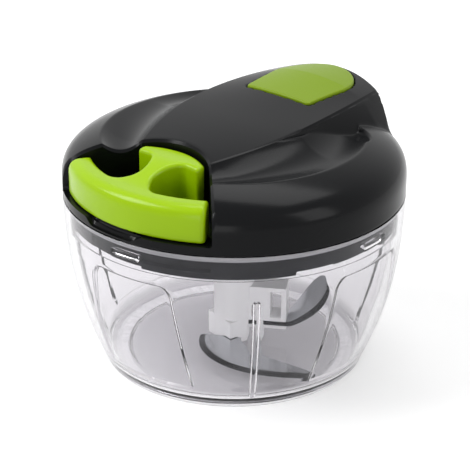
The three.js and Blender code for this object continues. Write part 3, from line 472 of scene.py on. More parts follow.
class Tree:
    """The nodes of a material or of the world, each added and fed in one call."""

    def __init__(self, owner: bpy.types.Material | bpy.types.World) -> None:
        """Turns an owner's nodes on and keeps its tree."""
        owner.use_nodes = True
        self.nodes, self.links = owner.node_tree.nodes, owner.node_tree.links

    def first(self, kind: str) -> bpy.types.Node:
        """The node of a kind that the tree came with."""
        return next(n for n in self.nodes if n.type == kind)

    def feed(self, node: bpy.types.Node, inputs: dict[str | int, Socket | float | tuple]) -> None:
        """Links each input to its socket, or sets it to its value.

        Args:
            node: the node.
            inputs: sockets or values, by the input's name or number.
        """
        for name, value in inputs.items():
            if isinstance(value, Socket):
                self.links.new(value, node.inputs[name])
            else:
                node.inputs[name].default_value = value

    def add(self, kind: str, inputs: dict[str | int, Socket | float | tuple] | None = None) -> bpy.types.Node:
        """A new node, its inputs fed.

        Args:
            kind: the node's type.
            inputs: what feed takes.

        Returns:
            The new node.
        """
        node = self.nodes.new("ShaderNode" + kind)
        self.feed(node, inputs or {})
        return node

    def place(self) -> Socket:
        """The object's own coordinates, in metres."""
        return self.add("TexCoord").outputs["Object"]

    def turned(self, place: Socket, name: str, by: Triple) -> Socket:
        """Coordinates put through one part of a mapping, its scale or its rotation."""
        return self.add("Mapping", {"Vector": place, name: by}).outputs["Vector"]

    def noise(self, place: Socket, scale: float, detail: float) -> Socket:
        """Noise of a scale in cycles per metre."""
        return self.add("TexNoise", {"Vector": place, "Scale": scale, "Detail": detail}).outputs["Fac"]

    def joined(self, operation: str, a: Socket, b: Socket) -> Socket:
        """Two values put through one node of arithmetic.

        Args:
            operation: the node's word for the operation.
            a: one value.
            b: the other.

        Returns:
            The result's socket.
        """
        node = self.add("Math", {0: a, 1: b})
        node.operation = operation
        return node.outputs["Value"]

    def ranged(self, value: Socket, low: float, high: float, span: Pair = (0.0, 1.0),
               soft: bool = False) -> Socket:
        """A value's span taken to the range low to high, straight or along a smooth step.

        Args:
            value: the value.
            low: the result at the span's start.
            high: the result at its end.
            span: where the value starts and ends.
            soft: whether it follows a smooth step.

        Returns:
            The result's socket.
        """
        node = self.add("MapRange")
        if soft:
            node.interpolation_type = "SMOOTHSTEP"
        ends = {"From Min": span[0], "From Max": span[1], "To Min": low, "To Max": high}
        self.feed(node, {"Value": value, **ends})
        return node.outputs["Result"]

    def mixed(self, share: Socket, low: Socket | tuple, high: Socket | tuple) -> Socket:
        """Two colours mixed by a share.

        Args:
            share: the share of the second colour.
            low: the first colour.
            high: the second.

        Returns:
            The mixed colour's socket.
        """
        node = self.add("Mix")
        node.data_type = "RGBA"
        self.feed(node, {"Factor": share, "A": low, "B": high})
        return node.outputs["Result"]

    def seen(self) -> Socket:
        """1 where the camera sees a surface straight, in gloss or through glass, 0 where it only lights.

        Returns:
            The value's socket.
        """
        rays = self.add("LightPath").outputs
        seen = self.joined("MAXIMUM", rays["Is Camera Ray"], rays["Is Glossy Ray"])
        return self.joined("MAXIMUM", seen, rays["Is Transmission Ray"])

    def bumped(self, *layers: tuple[Socket, float, float]) -> Socket:
        """A normal bent by heights in turn, each with its strength and its depth in metres.

        Args:
            layers: a height, its strength and its depth in metres, for each layer.

        Returns:
            The bent normal's socket.
        """
        inputs = {}
        for height, strength, depth in layers:
            bump = self.add("Bump", {"Height": height, "Strength": strength, "Distance": depth, **inputs})
            inputs = {"Normal": bump.outputs["Normal"]}
        return inputs["Normal"]


def material(name: str) -> tuple[bpy.types.Material, Tree, bpy.types.Node]:
    """A new material with one principled shader, its tree and that shader.

    Args:
        name: the material's name.

    Returns:
        The material, its tree and its shader.
    """
    mat = bpy.data.materials.new(name)
    tree = Tree(mat)
    return mat, tree, tree.first("BSDF_PRINCIPLED")


@dataclass(frozen=True)
class Plastic:
    """A moulded plastic: its colour, how dull it is, and the fine unevenness of the mould."""

    name: str
    colour: Triple
    roughness: float = 0.3
    gloss: float = 0.5
    tint: float = 0.06
    grain: float = 0.02
    grain_scale: float = 900.0
    grain_depth: float = 0.00006
    cloud_scale: float = 35.0
    wave: float = 0.02
    wave_depth: float = 0.0008
    uneven: float = 0.18

    def make(self) -> bpy.types.Material:
        """Builds the material: colour varied by soft noise, roughness by fine noise, and a bump of both.

        Returns:
            The material.
        """
        mat, tree, shader = material(self.name)
        place = tree.place()
        cloud = tree.noise(place, self.cloud_scale, 3.0)
        fine = tree.noise(place, self.grain_scale, 2.0)
        low, high = (rgba(self.colour, by) for by in spread(1.0, self.tint))
        tree.feed(shader, {
            "Base Color": tree.mixed(cloud, low, high),
            "Roughness": tree.ranged(fine, *spread(self.roughness, self.uneven)),
            "Specular IOR Level": self.gloss,
            "Normal": tree.bumped((fine, self.grain, self.grain_depth), (cloud, self.wave, self.wave_depth)),
        })
        return mat


@dataclass(frozen=True)
class ClearPlastic:
    """The bowl's clear plastic: refracts, with faint flow marks, and lets light through to what it holds."""

    name: str
    colour: Triple = (0.81, 0.80, 0.82)
    # painted shade: the bowl's colour towards its floor
    floor_colour: Triple = (0.57, 0.56, 0.58)
    # painted shade: the wall's colour where it is seen at a grazing angle
    edge_shade_colour: Triple = (0.30, 0.30, 0.33)
    glint: Triple = (0.50, 0.50, 0.53)
    shadow: Triple = (0.98, 0.98, 0.985)
    floor_height: Pair = (0.0035, 0.0075)
    edge_facing: Pair = (0.72, 0.97)
    roughness: float = 0.02
    uneven: float = 0.5
    ior: float = 1.42
    flow_scale: float = 28.0
    flow_bump: Pair = (0.02, 0.0006)

    def make(self) -> bpy.types.Material:
        """Builds the material: a refracting shader that casts only a light tinted shadow, its colour darker
        towards the floor and at grazing edges as painted shade.

        Returns:
            The material.
        """
        mat, tree, shader = material(self.name)
        place = tree.place()
        flow = tree.noise(place, self.flow_scale, 2.0)
        height = tree.add("SeparateXYZ", {"Vector": place}).outputs["Z"]
        facing = tree.add("LayerWeight", {"Blend": 0.5}).outputs["Facing"]
        # Painted shade: the colour darkens towards the floor, by height, and at grazing edges, by facing.
        above = tree.ranged(height, 0.0, 1.0, self.floor_height, soft=True)
        across = tree.ranged(facing, 0.0, 1.0, self.edge_facing, soft=True)
        colour = tree.mixed(above, rgba(self.floor_colour), rgba(self.colour))
        tree.feed(shader, {
            "Base Color": tree.mixed(across, colour, rgba(self.edge_shade_colour)),
            "Transmission Weight": 1.0,
            "IOR": self.ior,
            "Specular Tint": rgba(self.glint),
            "Roughness": tree.ranged(flow, *spread(self.roughness, self.uneven)),
            "Normal": tree.bumped((flow, *self.flow_bump)),
        })
        through = tree.add("BsdfTransparent", {"Color": rgba(self.shadow)}).outputs["BSDF"]
        rays = tree.add("LightPath").outputs["Is Shadow Ray"]
        both = tree.add("MixShader", {"Fac": rays, 1: shader.outputs["BSDF"], 2: through})
        tree.feed(tree.first("OUTPUT_MATERIAL"), {"Surface": both.outputs["Shader"]})
        return mat


@dataclass(frozen=True)
class Metal:
    """A steel: its colour, dullness, the direction of its marks, and the painted shade that darkens its
    ground edge.
    """

    name: str
    colour: Triple
    roughness: float = 0.25
    marks: Triple = (60.0, 60.0, 900.0)
    mark_scale: float = 8.0
    mark_bump: Pair = (0.05, 0.00004)
    uneven: float = 0.3
    # painted shade: the colour of the ground bevel, much darker than the steel
    ground: Triple = (0.06, 0.06, 0.065)

    def make(self) -> bpy.types.Material:
        """Builds the material: stretched noise drives roughness and a shallow bump, and the ground edge gets
        painted shade.

        Returns:
            The material.
        """
        mat, tree, shader = material(self.name)
        brush = tree.noise(tree.turned(tree.place(), "Scale", self.marks), self.mark_scale, 4.0)
        # Painted shade: the ground edge's mark mixes in the dark ground colour.
        edge = tree.add("Attribute")
        edge.attribute_name = "ground"
        share = tree.ranged(edge.outputs["Fac"], 0.0, 1.0, soft=True)
        tree.feed(shader, {
            "Base Color": tree.mixed(share, rgba(self.colour), rgba(self.ground)),
            "Metallic": 1.0,
            "Roughness": tree.ranged(brush, *spread(self.roughness, self.uneven)),
            "Normal": tree.bumped((brush, *self.mark_bump)),
        })
        return mat


@dataclass(frozen=True)
class Braid:
    """The cord: a fine plaited surface in off-white."""

    name: str
    colour: Triple
    roughness: float = 0.75
    # painted shade: the share of the colour left in the plait's grooves
    dark: float = 0.7
    scale: float = 1300.0 / 3.0
    turn: Pair = (0.7, 0.3)
    bump: Pair = (0.6, 0.00015)

    def make(self) -> bpy.types.Material:
        """Builds the material: two crossed waves make the plait, as bump and as colour, which is darker in
        its grooves as painted shade.

        Returns:
            The material.
        """
        mat, tree, shader = material(self.name)
        place = tree.place()
        waves = []
        for way in (self.turn[0], -self.turn[0]):
            turned = tree.turned(place, "Rotation", (way, self.turn[1], way))
            waves.append(tree.add("TexWave", {"Vector": turned, "Scale": self.scale}).outputs["Fac"])
        both = tree.joined("MAXIMUM", *waves)
        tree.feed(shader, {
            # Painted shade: the colour darkens where the bump's grooves are.
            "Base Color": tree.mixed(both, rgba(self.colour, self.dark), rgba(self.colour)),
            "Roughness": self.roughness,
            "Normal": tree.bumped((both, *self.bump)),
        })
        return mat


FINISHES: dict[Finish, Plastic | ClearPlastic | Metal | Braid] = {
    Finish.CLEAR: ClearPlastic("clear bowl"),
    Finish.LID: Plastic("charcoal cover", (0.0035, 0.0038, 0.0046), 0.19, 0.12),
    Finish.BASE: Plastic("charcoal underside", (0.007, 0.0075, 0.009), 0.38, 0.12, grain_scale=5000.0),
    Finish.GREEN: Plastic("lime handle", (0.34, 0.56, 0.001), 0.22, 0.2, tint=0.04, grain=0.004),
    Finish.PLATE: Plastic("lime plate", (0.20, 0.31, 0.005), 0.33, 0.15, tint=0.04, grain=0.008),
    Finish.WHITE: Plastic("white shaft", (0.93, 0.93, 0.93), 0.34, tint=0.02),
    Finish.INNER: Plastic("grey inner plastic", (0.30, 0.31, 0.32), 0.45),
    Finish.SILICONE: Plastic("seal rubber", (0.42, 0.42, 0.43), 0.6, tint=0.03),
    Finish.BLADE: Metal("blade steel", (0.50, 0.51, 0.53), 0.24, marks=(30.0, 30.0, 700.0)),
    Finish.STEEL: Metal("bright steel", (0.60, 0.60, 0.61), 0.22),
    Finish.SPRING: Metal("spring steel", (0.34, 0.35, 0.38), 0.3),
    Finish.CORD: Braid("cord", (0.74, 0.73, 0.68)),
}
MATERIALS: dict[Finish, bpy.types.Material] = {}


@dataclass
class Studio:
    """The floor, the backdrop colour, the lamps and the camera at the photograph's angle."""

    target: Triple = (0.0, 0.0, 50.0)
    distance: float = 600.0
    elevation: float = 24.3
    azimuth: float = 42.7
    lens: float = 119.4
    sensor: float = 36.0
    shift: Pair = (0.0015, -0.0166)
    clip: Pair = (0.01, 20.0)
    floor_half: float = 2400.0
    white: Triple = (1.0, 1.0, 1.0)
    floor_colour: Triple = (0.8, 0.8, 0.8)
    floor_dull: Pair = (0.55, 0.65)
    floor_noise: float = 3.0
    glow_reach: Pair = (0.2, 1.2)
    glow: Pair = (0.4, 0.85)
    world_light: float = 0.25
    lamps: tuple[tuple[str, Triple, Pair, float], ...] = (
        ("key lamp", (-450.0, -450.0, 700.0), (450.0, 450.0), 5.5),
        ("right lamp", (750.0, 100.0, 450.0), (300.0, 600.0), 1.5),
        ("front lamp", (350.0, -650.0, 140.0), (400.0, 250.0), 0.7),
        ("top lamp", (-50.0, 250.0, 900.0), (700.0, 400.0), 3.2),
    )

    def camera(self) -> None:
        """Stands the camera at its azimuth from the handle and its elevation, and aims it at the target."""
        azimuth, rise = math.radians(self.azimuth), math.radians(self.elevation)
        x, y = polar(math.cos(rise), azimuth)
        away = Vector((x, y, math.sin(rise)))
        data = bpy.data.cameras.new("camera")
        data.lens, data.sensor_width = self.lens, self.sensor
        data.shift_x, data.shift_y = self.shift
        data.clip_start, data.clip_end = self.clip
        camera = placed("camera", data)
        camera.location = (Vector(self.target) + away * self.distance) * MM
        camera.rotation_euler = (-away).to_track_quat("-Z", "Y").to_euler()
        bpy.context.scene.camera = camera

    def lamp(self, name: str, place: Triple, size: Pair, power: float) -> None:
        """One rectangular soft lamp, aimed at the object, of a power in watts.

        Args:
            name: the lamp's name.
            place: its middle.
            size: its width and height.
            power: its power in watts.
        """
        data = bpy.data.lights.new(name, "AREA")
        data.shape = "RECTANGLE"
        data.size, data.size_y = size[0] * MM, size[1] * MM
        data.energy = power
        lamp = placed(name, data)
        lamp.location = Vector(place) * MM
        lamp.rotation_euler = (Vector(self.target) - Vector(place)).to_track_quat("-Z", "Y").to_euler()

    def floor(self) -> None:
        """A wide pale floor that the camera, mirrors and glass see as white, and that keeps a shadow."""
        half = self.floor_half
        ring = [(-half, -half, 0.0), (half, -half, 0.0), (half, half, 0.0), (-half, half, 0.0)]
        obj = quad_object("floor", np.array(ring), np.array([[0, 1, 2, 3]]))
        mat, tree, shader = material("pale floor")
        place = tree.place()
        away = tree.add("VectorMath", {0: place})
        away.operation = "LENGTH"
        glow = tree.ranged(away.outputs["Value"], *self.glow, self.glow_reach)
        tree.feed(shader, {
            "Roughness": tree.ranged(tree.noise(place, self.floor_noise, 2.0), *self.floor_dull),
            "Base Color": rgba(self.floor_colour),
            "Emission Color": rgba(self.white),
            "Emission Strength": tree.joined("MULTIPLY", glow, tree.seen()),
        })
        obj.data.materials.append(mat)

    def world(self) -> None:
        """An even pale world: white where it is seen, in gloss or through glass, and softer as light."""
        world = bpy.data.worlds.new("studio")
        bpy.context.scene.world = world
        tree = Tree(world)
        strength = tree.ranged(tree.seen(), self.world_light, 1.0)
        tree.feed(tree.first("BACKGROUND"), {"Color": rgba(self.white), "Strength": strength})

    def build(self) -> None:
        """Sets up the whole studio."""
        bpy.context.scene.view_settings.view_transform = "Standard"
        self.camera()
        self.floor()
        self.world()
        for lamp in self.lamps:
            self.lamp(*lamp)


# Pieces whose model is already true: node, finish, body, and how wide the edges are eased, in millimetres.
WORKS: tuple[tuple[str, Finish, str, float], ...] = (
    ("pivot_pin", Finish.STEEL, "bowl", 0.2),
    ("blade_shaft", Finish.WHITE, "blades", 0.3),
    ("drive_bush", Finish.WHITE, "lid", 0.2),
    ("spool_axle", Finish.STEEL, "lid", 0.2),
    ("axle_washer", Finish.STEEL, "lid", 0.1),
    ("axle_screw", Finish.STEEL, "lid", 0.15),
    ("spring_case", Finish.INNER, "lid", 0.2),
    ("spiral_spring", Finish.SPRING, "lid", 0.0),
    ("cord_eyelet", Finish.STEEL, "lid", 0.15),
    ("drive_hub", Finish.WHITE, "hub", 0.2),
    ("cord_spool", Finish.WHITE, "spool", 0.2),
    ("wound_cord", Finish.CORD, "spool", 0.0),
    ("pawl_1", Finish.INNER, "first_pawl", 0.1),
    ("pawl_2", Finish.INNER, "second_pawl", 0.1),
    ("cord_knot", Finish.CORD, "handle", 0.0),
    *((f"lid_screw_{number}", Finish.STEEL, "lid", 0.1) for number in range(1, 5)),
)


@dataclass(frozen=True)
class LidForm:
    """The lid's outer form: a dome, a ridge along Y that rises to the rear, and a scoop on each side."""

    rim: float = sized("upper_cover", 1, 0)
    bottom: float = sized("upper_cover", 0, 2)
    side: float = 4.6
    crown: float = 24.3
    plan_power: float = 1.2
    rise_power: float = 3.39
    crease: float = 26.8
    slope: float = 0.1
    bend: float = 780.0
    half: float = 28.0
    widest: float = 12.0
    front_taper: float = 178.0
    rear_taper: float = 370.0
    front_bulge: float = 0.6
    rear_bulge: float = 3.8
    draft: float = 0.8
    least_draft: float = 0.12
    draft_y: float = 45.0
    rear_inset: float = 3.0
    rear_lean: float = 0.03
    scoop_inset: float = 15.0
    scoop_dip: float = 3.0
    scoop_lean: float = 0.35
    scoop_close: float = 26.0
    scoop_rear: float = 36.0
    scoop_fall_y: float = 4.0
    scoop_fall: float = 0.24
    scoop_soft: float = 0.25
    scoop_fade: float = 2.0
    scoop_least: float = 1.0
    foot_soft: float = 0.9
    recess_half: float = 18.5
    recess_back: float = -26.0
    recess_arch: float = 7.0
    recess_mouth: float = 36.0
    recess_steps: int = 41
    lip: float = 3.3

    @property
    def shoulder(self) -> float:
        """Height where the straight side ends and the dome starts."""
        return self.bottom + self.side

    @property
    def rear(self) -> float:
        """Radius of the ridge's rear wall at its top."""
        return self.rim - self.rear_inset

    @property
    def lip_top(self) -> float:
        """Height of the recess's floor."""
        return self.bottom + self.lip

    @property
    def arch(self) -> Pair:
        """Radius of the recess's arched back and the Y of its middle."""
        radius = (self.recess_half**2 + self.recess_arch**2) / (2.0 * self.recess_arch)
        return radius, self.recess_back - radius

    def dome(self, radius: Array) -> Array:
        """Height of the dome: crown times (1 less (r/rim) to the plan power) to the inverse rise power."""
        share = 1.0 - np.clip(radius / self.rim, 0.0, 1.0) ** self.plan_power
        return self.shoulder + self.crown * share ** (1.0 / self.rise_power)

    def line(self, y: Array) -> Array:
        """Height of the ridge's crease: a straight rise less y squared over the bend."""
        return self.bottom + self.crease + self.slope * y - y**2 / self.bend

    def width(self, y: Array) -> Array:
        """Half the ridge's width: a parabola about its widest place, flatter to the rear."""
        taper = np.where(y < self.widest, self.front_taper, self.rear_taper)
        return self.half - (y - self.widest) ** 2 / taper

    def top(self, x: Array, y: Array) -> Array:
        """Height of the ridge's crowned top: the crease plus a bulge times one less (x/width) squared.

        Args:
            x: places across the handle's line.
            y: places along it.

        Returns:
            The heights, one for each place.
        """
        share = np.clip(y / self.draft_y, 0.0, 1.0)
        bulge = self.front_bulge + (self.rear_bulge - self.front_bulge) * share**2
        return self.line(y) + bulge * (1.0 - (x / self.width(y)) ** 2)

    def flank(self, x: Array, y: Array) -> Array:
        """Height of the ridge's sloping sides and upright rear wall, whichever is lower.

        Args:
            x: places across the handle's line.
            y: places along it.

        Returns:
            The heights, one for each place.
        """
        lean = np.maximum(self.draft * np.clip(y / self.draft_y, 0.0, 1.0), self.least_draft)
        side = self.line(y) - (np.abs(x) - self.width(y)) / lean
        above = self.top(np.clip(x, -self.width(y), self.width(y)), y)
        return np.minimum(side, above - (np.hypot(x, y) - self.rear) / self.rear_lean)

    def scoop_edge(self, y: Array) -> Array:
        """Outer edge of a scoop in plan: an arc that closes in to the ridge between two places along Y.

        Args:
            y: places along the handle's line.

        Returns:
            How far out the edge lies.
        """
        reach = self.rim - self.scoop_inset
        arc = np.sqrt(np.maximum(reach**2 - y**2, 0.0))
        widest = math.sqrt(reach**2 - self.scoop_close**2)
        end = self.width(np.asarray(self.scoop_rear))
        share = np.clip((y - self.scoop_close) / (self.scoop_rear - self.scoop_close), 0.0, 1.0)
        closing = end + (widest - end) * np.sqrt(1.0 - share**2)
        return np.maximum(np.where(y <= self.scoop_close, arc, closing), self.width(y) + self.scoop_least)

    def ground(self, x: Array, y: Array) -> Array:
        """Height beside the ridge: the dome, dished by the scoop, which runs from crease to arc and dips.

        Args:
            x: places across the handle's line.
            y: places along it.

        Returns:
            The heights, one for each place.
        """
        dome = self.dome(np.hypot(x, y))
        inner, outer = self.width(y), self.scoop_edge(y)
        u = (np.abs(x) - inner) / (outer - inner)
        high = self.line(y) - self.scoop_fall * np.maximum(0.0, y - self.scoop_fall_y)
        low = self.dome(np.hypot(outer, y))
        reach = self.rim - self.scoop_inset - self.half
        depth = self.scoop_dip * np.minimum(1.0, (outer - inner) / reach)
        dip = depth * 4.0 * u * (1.0 - u) * (1.0 + self.scoop_lean * (1.0 - 2.0 * np.clip(u, 0.0, 1.0)))
        dish = high + (low - high) * u - dip
        kept = falling(y, self.scoop_rear - self.scoop_fade, self.scoop_rear)
        return dome + kept * (soft_min(dome, dish, self.scoop_soft) - dome)

    def beside(self, x: Array, y: Array) -> Array:
        """Height outside the ridge's crease: the higher of flank and ground, with a soft foot."""
        return -soft_min(-self.flank(x, y), -self.ground(x, y), self.foot_soft)

    def recess_side(self) -> Array:
        """The corner where the recess's arch ends and the place where its side meets the rim, at +X.

        Returns:
            The two places, shape (2, 2).
        """
        radius, middle = self.arch
        start = (self.recess_half, middle + math.sqrt(radius**2 - self.recess_half**2))
        return np.array([start, polar(self.rim, math.radians(self.recess_mouth))])

    def arch_line(self, start: float, end: float, count: int) -> Array:
        """Points of the recess's arch between two angles from its middle.

        Args:
            start: the first angle, in radians from +Y.
            end: the last angle.
            count: how many points to take.

        Returns:
            The points, shape (count, 2).
        """
        radius, middle = self.arch
        angle = np.linspace(start, end, count)
        return np.stack([radius * np.sin(angle), middle + radius * np.cos(angle)], axis=1)

    def recess_line(self) -> Array:
        """The recess's outline in plan, from the rim on the +X side round the arch to the other side.

        Returns:
            The outline's points, shape (n, 2).
        """
        turn = math.asin(self.recess_half / self.arch[0])
        end = self.recess_side()[1]
        return np.concatenate([[end], self.arch_line(turn, -turn, self.recess_steps), [end * [-1.0, 1.0]]])


@dataclass
class TopPlate:
    """The green plate let into the ridge: a straight front and a half round rear."""

    form: LidForm
    half: float = 17.6
    front_half: float = 16.0
    front: float = 24.0
    rear: float = 60.5
    proud: float = 0.6
    sunk: float = 0.9
    edge: float = 0.7
    edge_reach: float = 1.2
    corner: float = 1.6
    spine_share: float = 0.7
    around: int = 241
    arc_steps: int = 121
    corner_steps: int = 9
    edge_rows: int = 9
    top_rows: int = 26
    side_rows: int = 5
    row_gap: float = 1.2

    @property
    def middle(self) -> float:
        """The Y of the half round's middle."""
        return self.rear - self.half

    def outline(self) -> Array:
        """The outline in plan from +X round the rear: a half round, sides that close in, rounded corners.

        Returns:
            The closed outline's points, shape (n, 2).
        """
        turn = np.linspace(0.0, math.pi, self.arc_steps)
        arc = np.stack([self.half * np.cos(turn), self.middle + self.half * np.sin(turn)], axis=1)
        quarter = np.linspace(0.0, QUARTER, self.corner_steps)
        x = -self.front_half + self.corner * (1.0 - np.cos(quarter))
        left = np.stack([x, self.front + self.corner - self.corner * np.sin(quarter)], axis=1)
        return np.concatenate([arc, left, (left * [-1.0, 1.0])[::-1], arc[:1]])

    def inside(self, plan: Array) -> Array:
        """How far plan points lie inside the outline, negative outside it.

        Args:
            plan: points, shape (n, 2).

        Returns:
            The n distances.
        """
        x, y = np.abs(plan[:, 0]), plan[:, 1]
        lean = (self.half - self.front_half) / (self.middle - self.front)
        within = (y > self.front) & (x < self.half - lean * np.maximum(self.middle - y, 0.0))
        within &= (y < self.middle) | (np.hypot(x, y - self.middle) < self.half)
        dx, dy = x - (self.front_half - self.corner), (self.front + self.corner) - y
        within &= (dx < 0.0) | (dy < 0.0) | (np.hypot(dx, dy) < self.corner)
        return np.where(within, 1.0, -1.0) * distance_to(plan, self.outline())

    def build(self) -> None:
        """Makes the plate: rings that shrink from its outline to its middle line, its side, its underside."""
        outline = along(self.outline(), self.around)[:-1]
        end = self.front + self.half * self.spine_share
        spine = np.stack([np.zeros(len(outline)), np.clip(outline[:, 1], end, self.middle)], axis=1)
        near = self.edge_reach / self.half
        inner = np.linspace(near * self.row_gap, 1.0, self.top_rows)
        steps = 1.0 - np.concatenate([np.linspace(0.0, near, self.edge_rows), inner])
        plan = spine + (outline - spine) * steps[:, None, None]
        deep = np.maximum(self.inside(plan.reshape(-1, 2)), 0.0)
        sunk = edge_round(deep, self.edge).reshape(plan.shape[:-1])
        top = self.form.top(plan[..., 0], plan[..., 1])
        upper = lifted(plan, top + self.proud - sunk)
        foot = top[0] - self.sunk
        down = np.linspace(0.0, 1.0, self.side_rows)[:, None]
        side_z = upper[0, :, 2] + (foot - upper[0, :, 2]) * down
        side = lifted(np.broadcast_to(outline, (self.side_rows, *outline.shape)), side_z)
        sheets = [
            Sheet(upper, closed=True),
            Sheet(side, closed=True, turned=True),
            Sheet(lifted(plan, top - self.sunk), closed=True, turned=True),
        ]
        build("top_plate_moulded", sheets, Finish.PLATE, "lid", "top_plate")


@dataclass
class Cover:
    """The dark upper cover: ridge top, sides with scoops, recess, floor with its lip, and the rim's band."""

    form: LidForm
    plate: TopPlate
    rows: int = 96
    deep: int = 130
    across: int = 80
    wall_rows: int = 10
    floor_rows: int = 22
    side_rows: int = 6
    foot_rows: int = 7
    edge_rows: int = 5
    arch_rows: int = 6
    arc_steps: int = 3000
    searches: int = 40
    crease_round: float = 0.7
    crease_height: float = 2.0
    crease_least: float = 0.25
    mouth_round: float = 1.1
    floor_round: float = 1.2
    floor_share: float = 0.8
    floor_least: float = 0.02
    floor_spread: float = 1.3
    recess_middle: Pair = (0.0, -50.0)
    corner_turn: float = 156.0
    foot_search: float = 13.0
    foot_least: float = 0.35
    lean_share: float = 0.24
    dip_angle: float = 13.0
    dip_depth: float = 2.4
    dip_soft: float = 4.5
    dip_in: float = 2.4
    dip_ramp: Pair = (0.5, 0.3)
    wall: float = 2.2
    edge: float = 0.5
    inner_heights: Pair = (1.5, 3.0)
    pocket_gap: float = 0.3
    pocket_depth: float = 1.2
    pocket_soft: float = 0.2

    def lowered(self, points: Array) -> Array:
        """How far the rounding at the recess's mouth lowers each plan point."""
        away = distance_to(points.reshape(-1, 2), self.form.recess_line())
        return edge_round(away, self.mouth_round).reshape(points.shape[:-1])

    def ridge_top(self) -> Array:
        """The ridge's top as a grid from the recess's arch to the rear wall, with the plate's pocket let in.

        A column keeps its share of the ridge's width. Its ends are where it meets the arch and the rear wall.

        Returns:
            The grid, rows from front to rear and columns from -X to +X.
        """
        form = self.form
        u = np.linspace(-1.0, 1.0, self.across)
        radius, middle = form.arch
        front, back = np.full_like(u, form.recess_back), np.full_like(u, form.rear)
        for _ in range(self.searches):
            front = middle + np.sqrt(radius**2 - (u * form.width(front)) ** 2)
            back = np.sqrt(form.rear**2 - (u * form.width(back)) ** 2)
        y = front + (back - front) * np.linspace(0.0, 1.0, self.deep)[:, None]
        x = u * form.width(y)
        z = form.top(x, y)
        height = (z - form.ground(np.sign(x) * form.width(y), y)) / self.crease_height
        height = np.clip(height, self.crease_least, 1.0)
        gap = np.minimum(form.width(y) - np.abs(x), form.rear - np.hypot(x, y))
        z = z - edge_round(np.maximum(gap, 0.0), self.crease_round * height)
        plan = np.stack([x, y], axis=-1)
        inside = self.plate.inside(plan.reshape(-1, 2)).reshape(x.shape)
        low, high = -self.pocket_gap - self.pocket_soft, -self.pocket_gap + self.pocket_soft
        z = z - self.pocket_depth * rising(inside, low, high)
        return lifted(plan, z - self.lowered(plan))

    def shares(self) -> Array:
        """Shares of the way from the ridge's foot to the rim at equal lengths of arc over the dome.

        Returns:
            The shares, one for each row.
        """
        form = self.form
        q = np.linspace(1.0, 0.0, self.arc_steps)
        radius = form.half + (form.rim - form.half) * (1.0 - q**form.rise_power)
        arc = np.stack([radius, form.dome(radius)], axis=1)
        return (along(arc, self.rows)[:, 0] - form.half) / (form.rim - form.half)

    def foot_of(self, plan: Array, way: Array) -> Array:
        """How far out from the crease the flank meets the ground, by halving.

        Args:
            plan: places on the crease, shape (n, 2).
            way: the way out from each, shape (n, 2).

        Returns:
            The n lengths.
        """
        low, high = np.zeros(len(plan)), np.full(len(plan), self.foot_search)
        for _ in range(self.searches):
            mid = (low + high) / 2.0
            x, y = (plan + way * mid[:, None]).T
            above = self.form.flank(x, y) > self.form.ground(x, y)
            low, high = np.where(above, mid, low), np.where(above, high, mid)
        return np.clip(low, self.foot_least, None)

    def sides(self, top: Array) -> Array:
        """Everything outside the crease as a grid whose columns run from the ridge's edge out to the rim.

        The inner row is the edge of the ridge's top, round the rear. The first rows go down the flank to its
        foot, the rest on to the rim. Near its two ends the grid leans over to follow the recess's sides.

        Args:
            top: the grid of the ridge's top.

        Returns:
            The grid, rows from the crease to the rim.
        """
        form = self.form
        inner = np.concatenate([top[:, -1], top[-1, -2:0:-1], top[::-1, 0]])
        start, turn = math.radians(form.recess_mouth), math.radians(self.corner_turn)
        side = np.linspace(start, turn, self.deep)
        rear = np.linspace(turn, TURN - turn, self.across)[1:-1]
        angle = np.concatenate([side, rear, TURN - side[::-1]])
        outer = np.stack(polar(form.rim, angle), axis=1)
        plan = inner[:, :2]
        length = np.linalg.norm(outer - plan, axis=1)
        way = (outer - plan) / length[:, None]
        foot = self.foot_of(plan, way)
        down = np.linspace(0.0, 1.0, self.wall_rows)
        reach = np.concatenate([down[:, None] * foot, foot + self.shares()[1:, None] * (length - foot)])
        points = plan + way * reach[..., None]
        line = self.mouth_side(plan[0], reach[:, 0])
        lean = falling(np.arange(len(angle)) / len(angle), 0.0, self.lean_share)[:, None]
        shift = (line - points[:, 0])[:, None]
        points = points + shift * lean + shift * [-1.0, 1.0] * lean[::-1]
        sunk = self.lowered(points)
        z = np.minimum(form.beside(points[..., 0], points[..., 1]) - sunk, inner[:, 2])
        z[0] = inner[:, 2]
        z[-1] = form.shoulder - sunk[-1]
        points[-1] = outer
        return lifted(points, z)

    def mouth_side(self, start: Array, reach: Array) -> Array:
        """Places down the recess's side, from the crease to the rim, at the given lengths scaled to fit.

        Args:
            start: the place where the crease meets the arch.
            reach: the rows' lengths from the crease.

        Returns:
            The places, shape (n, 2).
        """
        form = self.form
        radius = form.arch[0]
        ends = (math.asin(x / radius) for x in (start[0], form.recess_half))
        arch = form.arch_line(*ends, self.arch_rows)
        return along(np.concatenate([arch, form.recess_side()[1:]]), reach / reach[-1])

    def floor_height(self, plan: Array) -> Array:
        """Height of the recess's floor, which dips at the lip in front of the handle.

        Args:
            plan: places, shape (..., 2).

        Returns:
            The heights, one for each place.
        """
        form = self.form
        angle = np.degrees(np.arctan2(plan[..., 0], -plan[..., 1]))
        dip = rising(self.dip_angle - np.abs(angle), 0.0, self.dip_soft)
        edge = form.rim - self.dip_in
        reach = np.hypot(plan[..., 0], plan[..., 1])
        near = rising(reach, edge - self.dip_ramp[0], edge + self.dip_ramp[1])
        return form.lip_top - self.dip_depth * dip * near

